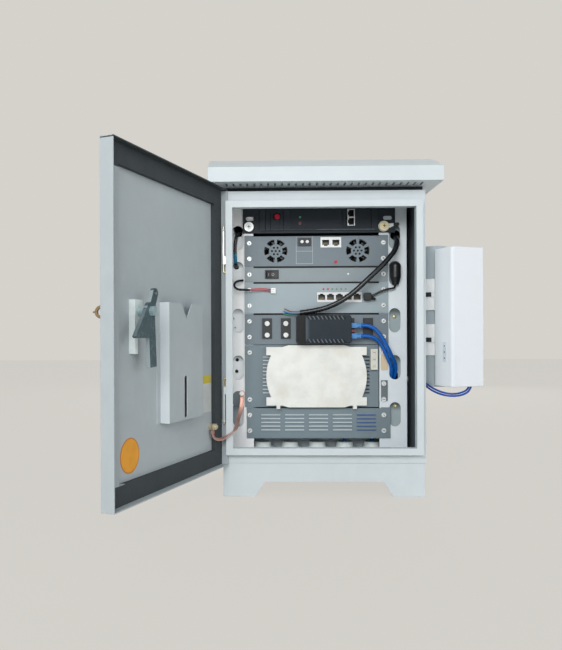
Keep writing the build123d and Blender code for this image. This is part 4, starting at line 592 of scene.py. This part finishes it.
blue_jacket = jacket("blue_jacket", linear(0, 94, 184), 0.28)
dark_blue_jacket = jacket("dark_blue_jacket", linear(8, 72, 168), 0.3)
black_jacket = jacket("black_jacket", linear(24, 27, 32), 0.26)
loop_jacket = jacket("loop_jacket", linear(24, 27, 32), 0.26)
loop_jacket.patch(linear(0, 112, 146), (-160, -80, 375), (-110, -20, 391), 1.0)

PATCH_UPPER = (
    (66.5, 54.5, 270.4), (78.0, 54.0, 270.6), (89.0, 52.5, 266.0), (98.0, 52.0, 256.0), (108.0, 52.0, 240.0),
    (117.0, 56.0, 222.0), (127.4, 66.0, 206.0), (128.6, 79.0, 186.0), (121.5, 89.0, 160.0), (111.0, 96.0, 134.0),
    (100.5, 102.0, 110.0), (94.8, 104.8, 88.0), (94.0, 105.0, 71.8),
)
PATCH_LOWER = (
    (66.5, 54.5, 253.0), (77.0, 55.5, 253.2), (88.0, 58.2, 251.2), (98.2, 60.0, 244.3), (106.5, 60.4, 231.0),
    (113.2, 61.8, 215.0), (120.9, 66.0, 201.0), (121.2, 79.5, 180.0), (114.5, 84.0, 160.0), (104.5, 90.0, 136.0),
    (92.0, 96.0, 116.0), (71.0, 101.0, 103.5), (52.5, 104.0, 95.0), (47.6, 105.0, 80.5), (47.0, 105.0, 71.8),
)
POWER = (
    (128.4, 104.0, 404.0), (128.6, 91.0, 413.5), (128.8, 77.0, 419.0), (128.6, 63.5, 415.8), (127.2, 54.5, 405.5),
    (123.2, 50.0, 393.5), (112.6, 46.0, 381.0), (99.6, 42.0, 366.8), (74.5, 40.0, 343.5), (50.0, 42.0, 320.5),
    (25.5, 47.0, 305.5), (0.0, 52.0, 295.8), (-33.0, 55.0, 291.55),
)
DC = (
    (87.2, 63.0, 319.3), (97.0, 62.5, 325.0), (107.5, 62.0, 329.4), (118.5, 62.0, 331.6), (125.4, 63.5, 332.4),
    (126.5, 64.5, 337.5),
)
LOOP = (
    (-131.0, 98.0, 415.0), (-131.5, 86.0, 423.0), (-133.5, 74.0, 427.0), (-137.3, 65.0, 422.5),
    (-139.8, 62.5, 411.0), (-140.4, 62.5, 399.0), (-140.0, 62.5, 388.5), (-139.5, 63.5, 379.0),
    (-138.5, 70.5, 370.5), (-137.0, 84.0, 368.0),
)
SIGNAL = (
    (-119.0, 86.0, 349.0), (-126.0, 76.5, 347.5), (-137.5, 66.0, 345.8), (-143.1, 60.0, 338.3),
    (-137.5, 54.0, 330.8), (-127.0, 55.5, 330.2), (-115.9, 58.0, 330.0),
)
WIRES = {
    "signal_wire_upper": ((-115.6, 57.1, 330.7), (-104.0, 57.6, 332.5), (-93.0, 60.5, 332.4), (-80.0, 66.6, 331.3)),
    "signal_wire_lower": ((-115.6, 58.9, 329.3), (-104.0, 60.2, 330.2), (-91.0, 63.0, 330.0), (-79.5, 66.8, 327.2)),
    "core_live": ((-33.3, 55.0, 293.55), (-43.0, 57.0, 293.4), (-51.0, 60.5, 294.6), (-57.5, 66.5, 299.0)),
    "core_neutral": ((-33.3, 53.2, 290.75), (-43.0, 55.4, 290.4), (-52.0, 59.5, 291.0), (-59.0, 66.0, 294.6)),
    "core_earth": ((-33.3, 56.8, 290.35), (-43.0, 59.8, 289.4), (-52.5, 63.6, 289.0), (-60.5, 66.8, 290.6)),
}
ANTENNA = {
    "antenna_lead_upper": (
        (247.0, 64.0, 168.7), (245.0, 63.5, 163.0), (234.0, 62.5, 158.0), (222.0, 62.5, 156.0), (210.0, 66.0, 157.0),
        (199.0, 73.5, 160.5), (190.0, 84.0, 166.0), (184.0, 102.0, 172.5), (178.0, 115.4, 177.7),
        (170.6, 118.0, 179.8),
    ),
    "antenna_lead_lower": (
        (251.0, 65.0, 168.7), (248.5, 64.5, 160.5), (236.5, 62.8, 154.5), (223.0, 62.5, 152.4), (209.0, 66.0, 153.3),
        (197.5, 74.5, 156.8), (189.0, 85.5, 162.0), (183.5, 103.0, 168.6), (178.0, 116.0, 173.6),
        (170.6, 118.0, 176.2),
    ),
}

patch_upper = curve("patch_lead_upper", PATCH_UPPER, 6.4, blue_jacket)
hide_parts("patch_cable_upper")
patch_lower = curve("patch_lead_lower", PATCH_LOWER, 6.4, blue_jacket)
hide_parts("patch_cable_lower")
power_lead = curve("power_lead", POWER, 8.5, black_jacket)
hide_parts("power_cord")
dc_lead = curve("dc_lead", DC, 3.4, black_jacket)
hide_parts("dc_cord")
loop_lead = curve("loop_lead", LOOP, 6.0, loop_jacket)
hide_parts("loop_cable")
signal_lead = curve("signal_lead", SIGNAL, 3.8, black_jacket)
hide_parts("signal_jacket")
core_colours = {
    "signal_wire_upper": (linear(206, 66, 74), 0.0377), "signal_wire_lower": (linear(180, 74, 82), 0.0377),
    "core_live": (linear(150, 84, 70), 0.03), "core_neutral": (linear(40, 120, 210), 0.0302),
    "core_earth": (linear(70, 160, 120), 0.03),
}
for name, points in WIRES.items():
    colour, length = core_colours[name]
    wire = curve(name, points, 1.6, jacket(name, colour, 0.3))
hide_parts("thin_wires")
for name, points in ANTENNA.items():
    lead = curve(name, points, 3.2, dark_blue_jacket)
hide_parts("antenna_cable")

# ---------------------------------------------------------------- flat copper braid between door and left post
BRAID = (
    (-173.43, -32.14, 107.7), (-173.4, -32.4, 99.5), (-168.0, -28.5, 94.5), (-160.5, -22.0, 94.0),
    (-153.5, -17.6, 97.0), (-147.0, -16.2, 101.5), (-139.8, -13.8, 106.5), (-138.0, -1.0, 109.5),
    (-137.5, 18.0, 110.5), (-137.0, 38.0, 113.0), (-134.5, 54.0, 120.5), (-131.2, 63.5, 132.5),
    (-129.7, 66.6, 144.0), (-129.5, 67.9, 151.4),
)
# way that the flat side faces at each fraction of the length
BRAID_FACES = ((0.0, INWARD), (0.1, (INWARD + UP).normalized()), (0.28, Vector((-0.3, 0.0, 0.95))),
               (0.62, Vector((-0.3, -0.1, 0.9))), (0.85, Vector((0.1, -0.95, 0.2))), (1.0, Vector((0, -1, 0))))
guide = curve("braid_guide", BRAID, 0, None)
bpy.context.view_layer.update()
line = bpy.data.meshes.new_from_object(guide.evaluated_get(bpy.context.evaluated_depsgraph_get()))
braid_path = [v.co.copy() for v in line.vertices]
bpy.data.meshes.remove(line)
bpy.data.objects.remove(guide)


def braid_side(fraction):
    for (low, first), (high, last) in zip(BRAID_FACES, BRAID_FACES[1:]):
        if fraction <= high:
            return first.lerp(last, (fraction - low) / (high - low))
    return BRAID_FACES[-1][1]


STRAP_WIDTH, STRAP_THICKNESS = 7.0, 1.5
STRAP_STEP, STRAP_AROUND = 0.45, 48  # mesh rows along and points around


def woven_strap(path, width, thickness, strands=10, pitch=5.0):
    """Flat tube whose skin carries crossing strands, along a path in metres."""
    lengths = [0.0]
    for a, b in zip(path, path[1:]):
        lengths.append(lengths[-1] + (b - a).length)
    total = lengths[-1]
    rows = int(total / (STRAP_STEP * MM))
    around = STRAP_AROUND
    mesh = bpy.data.meshes.new("earth_strap")
    bm = bmesh.new()
    rings, index = [], 0
    for row in range(rows + 1):
        reach = total * row / rows
        while index < len(lengths) - 2 and lengths[index + 1] < reach:
            index += 1
        share = (reach - lengths[index]) / max(lengths[index + 1] - lengths[index], 1e-9)
        place = path[index].lerp(path[index + 1], share)
        tangent = (path[index + 1] - path[index]).normalized()
        face = braid_side(reach / total)
        across = tangent.cross(face).normalized()
        face = across.cross(tangent).normalized()
        ring = []
        for step in range(around):
            angle = 2 * math.pi * step / around
            c, s = math.cos(angle), math.sin(angle)
            flat = math.copysign(abs(c) ** 0.8, c) * width / 2, math.copysign(abs(s) ** 0.5, s) * thickness / 2
            along = reach / MM / pitch
            first = math.sin(math.pi * (strands * step / around * 2 + along * 2))
            second = math.sin(math.pi * (strands * step / around * 2 - along * 2))
            lift = 0.16 * max(first, second) * (0.4 + 0.6 * abs(s))
            ring.append(bm.verts.new(place + (across * flat[0] + face * (flat[1] + math.copysign(lift, s))) * MM))
        rings.append(ring)
    for lower, upper in zip(rings, rings[1:]):
        for step in range(around):
            other = (step + 1) % around
            bm.faces.new((lower[step], lower[other], upper[other], upper[step]))
    bm.faces.new(rings[0])
    bm.faces.new(rings[-1])
    bmesh.ops.recalc_face_normals(bm, faces=bm.faces)
    for face in bm.faces:
        face.smooth = True
    bm.to_mesh(mesh)
    bm.free()
    mesh.materials.append(copper.data)
    made = bpy.data.objects.new("earth_strap", mesh)
    scene.collection.objects.link(made)
    return made, total


strap, strap_length = woven_strap(braid_path, STRAP_WIDTH, STRAP_THICKNESS)
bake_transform(strap)
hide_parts("earth_braid")


def door_lug(bm):
    prism(bm, circle(29.0, 114.7, 5.0, 28), -6.7, -5.3, [circle(29.0, 114.7, 3.25, 24)])
    prism(bm, rounded(29.0, 107.5, 6.6, 6.0, 1.0), -6.7, -5.3)
    prism(bm, rounded(29.0, 105.9, 7.4, 5.0, 1.2), -7.6, -4.6)


def post_lug(bm):
    prism(bm, circle(-129.5, 157.0, 5.0, 28), 40.1, 41.4, [circle(-129.5, 157.0, 2.8, 24)])
    prism(bm, rounded(-129.5, 150.0, 6.6, 7.0, 1.0), 40.1, 41.4)
    prism(bm, rounded(-129.5, 149.3, 7.4, 6.0, 1.2), 40.2, 43.2)


piece("earth_lug_door", "door", DOOR, [copper], door_lug, 0.25)
piece("earth_lug_post", "cabinet", FACE, [copper], post_lug, 0.25)

# ---------------------------------------------------------------- sheets behind the posts' slots and on the floor
liner_white = paint("liner_white", linear(246, 250, 252), 0.4, 0.02)
# painted shade inside the lowest left slot
liner_white.patch(linear(126, 140, 146), (-160, -60, 60), (-133.5, 0, 146), 3.0, 0.9)
# the right sheet is painted greyer than the left: painted shade
liner_shaded_grey = paint("liner_shaded_grey", linear(164, 178, 182), 0.4, 0.05)
# painted shadow below each slot's top edge, on both sheets
for top in (141.9, 220.6, 299.3, 378.0, 438.7):
    liner_white.patch(linear(150, 160, 164), (-160, -60, top - 7), (-100, 0, top + 2), 6.0, 0.7)
    liner_shaded_grey.patch(linear(70, 80, 78), (100, -60, top - 10), (160, 0, top + 2), 10.0, 0.8)


def left_liner(bm):
    holes = [circle(-137.3, 213.2, 2.9), circle(-138.2, 194.0, 2.9), circle(-142.8, 283.0, 1.4, 12),
             circle(-140.6, 267.8, 1.2, 12), circle(-138.0, 370.0, 4.2), circle(-122.5, 347.0, 4.0)]
    top = [(-112.0, 60.0), (-112.0, 433.0), (-127.0, 433.0), (-127.5, 425.0), (-130.0, 421.5), (-134.0, 420.5),
           (-138.0, 421.5), (-141.0, 425.0), (-142.0, 433.0), (-153.0, 433.0), (-153.0, 60.0)]
    prism(bm, top, LINER_BACK, LINER_FRONT, holes)
    prism(bm, [(-112.0, 60.0), (-112.0, 433.0), (-111.0, 433.0), (-111.0, 60.0)], 8.0, LINER_FRONT)


def right_liner(bm):
    passage = [(105.0, 150.0), (130.5, 150.0), (132.5, 170.0), (132.5, 190.0), (128.5, 194.0), (117.5, 192.0),
               (105.0, 176.0)]
    holes = [passage, circle(128.8, 422.0, 8.5)]
    prism(bm, rounded(122.5, 269.0, 43.0, 418.0, 1.0, 2), LINER_BACK, LINER_FRONT, holes)
    prism(bm, [(143.0, 60.5), (144.0, 60.5), (144.0, 477.5), (143.0, 477.5)], 8.0, LINER_FRONT)


def floor_liner(bm):
    slab(bm, -7.0, 88.0, 236.0, 64.0, -17.0, -16.0)


piece("slot_liner_left", "cabinet", FACE, [liner_white], left_liner)
piece("floor_liner", "cabinet", FACE, [cabinet_paint], floor_liner)
piece("slot_liner_right", "cabinet", FACE, [liner_shaded_grey], right_liner)


def liner_studs(bm):
    for x, z in ((126.6, 285.2), (128.0, 134.8)):
        profile = ((3.4, 0.0), (3.4, 0.7), (2.9, 1.0), (2.7, 2.0), (1.9, 3.0), (0.0, 3.5))
        turned(bm, [(radius, LINER_FRONT + height) for radius, height in profile], x, z)


piece("liner_studs", "cabinet", FACE, [brass], liner_studs, smooth=True)

# painted shade: a grey plate on the left post's face stands for the shaded upper end of the lowest slot
slot_end_shade = plastic("slot_end_shade", linear(116, 128, 132), 0.6, 0.2)


def lowest_slot_shade(bm):
    prism(bm, rounded(-135.5, 147.5, 18.6, 27.0, 8.5), 40.05, 40.35)


piece("lowest_slot_shade", "cabinet", FACE, [slot_end_shade], lowest_slot_shade)

# ---------------------------------------------------------------- painted shade between rows, caps and painted highlight on injector ribs
# dark strips over the joins between rows: painted shade of the gaps
def row_gap_shadows(bm):
    for row in (8, 10, 11):
        slab(bm, -5.0, RACK_BASE + ROW_PITCH * row - 0.9, 209.0, 2.8, PANEL_FACE - 0.1, PANEL_FACE + 0.25)


piece("row_gap_shadows", "cabinet", FACE, [gap_shade], row_gap_shadows)


def outlet_caps(bm):
    for x in (-87.0, -55.8):
        for z in (274.1, 254.9):
            profile = ((4.2, 0.0), (4.2, 3.0), (3.8, 3.4), (0.0, 3.5))
            turned(bm, [(radius, OUTLET_FACE + height) for radius, height in profile], x, z, 24)


piece("outlet_caps", "cabinet", FACE, [white_plastic], outlet_caps, smooth=True)


RIB_LEAN = 0.58


# light grey bars over the injector's grooves: painted highlight on the ribs
def adapter_ribs(bm):
    for number in range(9):
        x = -17.7 + 6.6 * number
        for z in (283.1, 244.9):
            corners = ((-0.9, -3.0), (0.9, -3.0), (0.9, 3.0), (-0.9, 3.0))
            outline = [(x + dx - RIB_LEAN * dz, z + dz) for dx, dz in corners]
            prism(bm, outline, INJECTOR_FACE - 0.1, INJECTOR_FACE + 0.25)


piece("adapter_ribs", "cabinet", FACE, [plastic("rib_highlight", linear(92, 104, 112), 0.3, 0.05)], adapter_ribs)

# ---------------------------------------------------------------- painted shade in screw slots, knobs and ring lug
SCREWS = [(-116.5, row) for row in (0, 1, 2, 5, 6, 7, 8, 9, 10, 11, 12)]
SCREWS += [(107.5, row) for row in (0, 1, 2, 3, 5, 6, 7, 8, 9, 10, 11, 12)]


# dark bars across the screw heads: painted shade of their slots
def screw_slots(bm):
    for x, row in SCREWS:
        z = RACK_BASE + ROW_PITCH * (row + 0.5)
        angle = random.uniform(0, math.pi)
        for turn_by, size in ((0.0, 4.6), (math.pi / 2, random.choice((0.0, 3.0, 3.0)))):
            if size:
                c, s = math.cos(angle + turn_by), math.sin(angle + turn_by)
                bar = [(-size / 2, -0.45), (size / 2, -0.45), (size / 2, 0.45), (-size / 2, 0.45)]
                prism(bm, [(x + c * u - s * v, z + s * u + c * v) for u, v in bar],
                      SCREW_FACE, SCREW_FACE + 0.26)


piece("screw_slots", "cabinet", FACE, [slot_shade], screw_slots)


KNOB_Z = 436.0


def knob_centres(bm):
    for x, kind in ((-117.0, 0), (108.0, 1)):
        profile = ((4.6, 0.0), (4.6, 0.7), (4.2, 1.0), (0.0, 1.1))
        turned(bm, [(radius, KNOB_FACE + height) for radius, height in profile], x, KNOB_Z, kind=kind)
        # dark cross on each knob: painted shade of its recess
        slab(bm, x, KNOB_Z, 4.6, 1.1, KNOB_FACE + 1.1, KNOB_FACE + 1.35, 2)
        slab(bm, x, KNOB_Z, 1.1, 4.6, KNOB_FACE + 1.1, KNOB_FACE + 1.36, 2)


piece("knob_centres", "cabinet", FACE, [bright_zinc, brass, slot_shade], knob_centres)


def ring_lug(bm):
    prism(bm, circle(108.0, KNOB_Z, 9.0, 32), 43.0, 44.0, [circle(108.0, KNOB_Z, 8.2, 28)])
    prism(bm, [(115.5, 440.5), (126.0, 441.0), (126.5, 437.5), (117.5, 433.0)], 43.0, 44.0)
    prism(bm, rounded(128.5, 438.8, 9.0, 5.4, 2.2), 42.0, 46.5, kind=1)


piece("ring_lug", "cabinet", FACE, [bright_zinc, black_plastic], ring_lug, 0.2)


def button_ring(bm):
    turned(bm, [(6.6, 45.0), (6.6, 45.9), (6.1, 46.3), (5.2, 46.3), (5.0, 45.0)], -70.0, 452.6, 36)


piece("button_ring", "cabinet", FACE, [gloss_black], button_ring, smooth=True)


# lighter line along the controller's lower front: painted reflection
def controller_edge_reflection(bm):
    slab(bm, 44.5, 431.0, 96.0, 0.9, 45.0, 45.25)


piece("controller_edge_reflection", "cabinet", FACE, [plastic("strip_reflection", linear(96, 106, 112), 0.5, 0.1)], controller_edge_reflection)


# ---------------------------------------------------------------- contacts, terminals and small connectors
def contacts(bm):
    for middle, pitch, count, z in ((34.0, 14.8, 5, 317.8), (20.0, 17.0, 2, 409.8)):
        for jack in range(count):
            x = middle + (jack - (count - 1) / 2) * pitch
            for pin in range(8):
                slab(bm, x + (pin - 3.5) * 1.02, z - 1.8, 0.3, 3.4, 38.6, 38.9)


piece("jack_contacts", "cabinet", FACE, [gold], contacts)


def signal_terminal(bm):
    prism(bm, rounded(-76.5, 329.0, 8.0, 9.0, 0.8), 41.5, 46.4)
    for z in (327.0, 331.2):
        turned(bm, [(1.5, 46.4), (1.5, 46.7), (1.3, 46.8), (0.0, 46.8)], -76.5, z, 16, 1)
        # dark bar: painted shade of the screw's slot
        slab(bm, -76.5, z, 2.4, 0.5, 46.8, 46.95, 2)


piece("signal_terminal", "cabinet", FACE, [white_plastic, zinc, slot_shade], signal_terminal, 0.15)


def terminal_screws(bm):
    for number in range(3):
        z = 214.0 + (number - 1) * 11.0
        turned(bm, [(2.45, 45.7), (2.45, 47.2), (2.1, 47.5), (0.0, 47.6)], 90.5, z, 20)
        # dark bar: painted shade of the screw's slot
        slab(bm, 90.5, z, 3.9, 0.7, 47.6, 47.85, 1)


piece("terminal_screws", "cabinet", FACE, [zinc, slot_shade], terminal_screws, smooth=True)


def plug_clips(bm):
    for z in (270.4, 253.0):
        prism(bm, rounded(58.5, z, 13.0, 3.4, 1.0), 61.2, 62.2)
        slab(bm, 61.5, z, 1.2, 5.6, 61.1, 62.6)
        prism(bm, rounded(65.8, z, 2.4, 7.4, 0.8), 50.6, 60.6)


piece("plug_clips", "cabinet", FACE, [patch_blue], plug_clips, 0.2)


def red_tab(bm):
    prism(bm, rounded(54.0, 261.6, 7.0, 4.2, 0.8), 46.0, 52.0)


piece("red_tab", "cabinet", FACE, [plastic("tab_red", linear(178, 84, 84), 0.4, 0.1)], red_tab, 0.2)

# the relief points along the low-voltage lead: to the right and 26 degrees up
RELIEF_START = Vector((83.5, 318.2, 47.2))
RELIEF_RISE = math.radians(26)
ALONG_X = Matrix(((0, 0, 1), (0, 1, 0), (-1, 0, 0))).to_4x4()
RELIEF = FACE @ Matrix.Translation(RELIEF_START) @ ALONG_X @ Matrix.Rotation(RELIEF_RISE, 4, "X")


def relief_cone(bm):
    rings = [(3.4, 0.0), (3.4, 2.0)]
    for number in range(4):
        start = 2.4 + number * 2.0
        radius = 3.1 - 0.3 * number
        rings += [(radius - 0.5, start), (radius, start + 0.5), (radius, start + 1.4), (radius - 0.5, start + 1.6)]
    rings += [(1.8, 10.6)]
    turned(bm, rings)


piece("dc_relief", "cabinet", RELIEF, [gloss_black], relief_cone, smooth=True)


def connector_ring(bm):
    turned(bm, [(9.05, 355.0), (9.2, 355.1), (9.2, 355.6), (9.05, 355.7)], 126.5, -45.5, 40)


piece("connector_ring", "cabinet", placing(Vector((1, 0, 0)), Vector((0, 1, 0)), UP), [black_plastic], connector_ring,
      smooth=True)

# ---------------------------------------------------------------- door: label, sticker and pocket; painted highlights on the lip's corners
label_paper = plastic("label_paper", linear(206, 210, 208), 0.5, 0.1)
label_yellow = plastic("label_yellow", linear(206, 190, 60), 0.5, 0.1)
sticker_gold = plastic("sticker_gold", linear(240, 164, 34), 0.4, 0.1)
sticker_edge = plastic("sticker_edge", linear(206, 120, 36), 0.4, 0.1)


def door_label(bm):
    prism(bm, rounded(39.65, 159.9, 29.9, 43.8, 0.8, 3), DOOR_SKIN, DOOR_SKIN + 0.25)
    prism(bm, rounded(39.65, 187.9, 29.9, 12.2, 0.8, 3), DOOR_SKIN, DOOR_SKIN + 0.25, kind=1)


piece("door_label", "door", DOOR, [label_paper, label_yellow], door_label)


def round_sticker(bm):
    prism(bm, circle(258.5, 107.3, 22.0, 64), DOOR_SKIN, DOOR_SKIN + 0.2, kind=1)
    prism(bm, circle(258.5, 107.3, 20.4, 64), DOOR_SKIN + 0.2, DOOR_SKIN + 0.28)


piece("round_sticker", "door", DOOR, [sticker_gold, sticker_edge], round_sticker)


def pocket_flange(bm):
    prism(bm, [(183.0, 138.0), (192.0, 138.0), (192.0, 246.0), (183.0, 262.0)], DOOR_SKIN, DOOR_SKIN + 0.8)


piece("pocket_flange", "door", DOOR, [pocket_shaded_lit_paint], pocket_flange)


# white spots at the lip's four corners: painted highlights
def lip_corner_glints(bm):
    for x in (-147.0, 147.0):
        for z in (456.5, 76.5):
            profile = ((4.2, 0.0), (4.0, 0.2), (3.0, 0.3), (0.0, 0.35))
            turned(bm, [(radius, LIP_FACE + height) for radius, height in profile], x, z, 20)


piece("lip_corner_glints", "cabinet", FACE, [white_plastic], lip_corner_glints, smooth=True)


# ---------------------------------------------------------------- antenna: lamp window and strap buckles
def lamp_window(bm):
    prism(bm, rounded(20.0, 226.0, 9.0, 33.0, 1.5), 0.0, 0.35)
    for z in (216.0, 226.0, 236.0):
        turned(bm, [(1.5, 0.35), (1.3, 0.8), (0.0, 1.0)], 20.0, z, 16, 1)


window_grey = plastic("window_grey", linear(228, 234, 240), 0.3, 0.1)
window_lamp = plastic("window_lamp", linear(120, 140, 168), 0.3, 0.1)
piece("lamp_window", "cabinet", ANTENNA_SIDE, [window_grey, window_lamp], lamp_window, 0.1)


def buckles(bm):
    reach = 19.0 + 5.0 + 1.6  # pole, saddle and strap
    angles = [math.radians(221.5 + 1.6 * step) for step in range(9)]
    outline = [((reach + 1.8) * math.cos(angle), (reach + 1.8) * math.sin(angle)) for angle in angles]
    outline += [(reach * math.cos(angle), reach * math.sin(angle)) for angle in reversed(angles)]
    for z in (246.0, 323.0):
        prism(bm, outline, z - 4.6, z + 4.6)


piece("strap_buckles", "cabinet", ANTENNA_PLAN, [white_plastic], buckles, 0.3)

# ---------------------------------------------------------------- stage and light
BACKDROP = linear(213, 210, 204)
FLOOR_GLOW = 0.88  # part of the floor's colour that the camera sees without light or shadow
floor_mesh = bpy.data.meshes.new("floor")
floor_mesh.from_pydata([(-6, -6, 0), (6, -6, 0), (6, 6, 0), (-6, 6, 0)], [], [(0, 1, 2, 3)])
floor = bpy.data.objects.new("floor", floor_mesh)
scene.collection.objects.link(floor)
floor_look = Material("floor_look", BACKDROP, 0.8)
floor_look.bump(floor_look.noise(60.0, 3.0), 0.0003, 0.3)
glow = floor_look.node("ShaderNodeEmission")
glow.inputs["Color"].default_value = BACKDROP
seen_floor = floor_look.node("ShaderNodeLightPath")
share = floor_look.node("ShaderNodeMath", operation="MULTIPLY")
share.inputs[1].default_value = FLOOR_GLOW
floor_look.link(seen_floor.outputs["Is Camera Ray"], share.inputs[0])
floor_mix = floor_look.node("ShaderNodeMixShader")
floor_look.link(share.outputs[0], floor_mix.inputs[0])
floor_look.link(floor_look.shader.outputs[0], floor_mix.inputs[1])
floor_look.link(glow.outputs[0], floor_mix.inputs[2])
floor_look.link(floor_mix.outputs[0], floor_look.tree.nodes["Material Output"].inputs["Surface"])
floor_mesh.materials.append(floor_look.data)

world = bpy.data.worlds.new("world")
scene.world = world
world.use_nodes = True
tree = world.node_tree
background = tree.nodes["Background"]
background.inputs["Color"].default_value = (0.93, 0.97, 1.0, 1)
background.inputs["Strength"].default_value = 0.45
seen = tree.nodes.new("ShaderNodeBackground")
seen.inputs["Color"].default_value = BACKDROP
seen.inputs["Strength"].default_value = 1.0
path = tree.nodes.new("ShaderNodeLightPath")
either = tree.nodes.new("ShaderNodeMath")
either.operation = "MAXIMUM"
any_of = tree.nodes.new("ShaderNodeMath")
any_of.operation = "MAXIMUM"
tree.links.new(path.outputs["Is Camera Ray"], either.inputs[0])
tree.links.new(path.outputs["Is Transmission Ray"], either.inputs[1])
tree.links.new(either.outputs[0], any_of.inputs[0])
tree.links.new(path.outputs["Is Glossy Ray"], any_of.inputs[1])
mix = tree.nodes.new("ShaderNodeMixShader")
tree.links.new(any_of.outputs[0], mix.inputs[0])
tree.links.new(background.outputs[0], mix.inputs[1])
tree.links.new(seen.outputs[0], mix.inputs[2])
tree.links.new(mix.outputs[0], tree.nodes["World Output"].inputs["Surface"])


def lamp(name, place, target, size, power, colour=(1, 1, 1)):
    data = bpy.data.lights.new(name, "AREA")
    data.shape = "RECTANGLE"
    data.size, data.size_y = size
    data.energy = power
    data.color = colour
    made = bpy.data.objects.new(name, data)
    scene.collection.objects.link(made)
    made.location = place
    aim = Vector(target) - Vector(place)
    made.rotation_euler = aim.to_track_quat("-Z", "Y").to_euler()


lamp("key", (-0.6, -2.4, 1.1), (0.0, -0.05, 0.28), (1.4, 1.0), 36)
lamp("fill", (1.7, -1.7, 0.6), (0.0, 0.0, 0.3), (1.5, 1.5), 12)
lamp("back", (0.4, 2.2, 0.9), (0.0, 0.0, 0.3), (1.6, 1.2), 16)

bpy.context.view_layer.update()
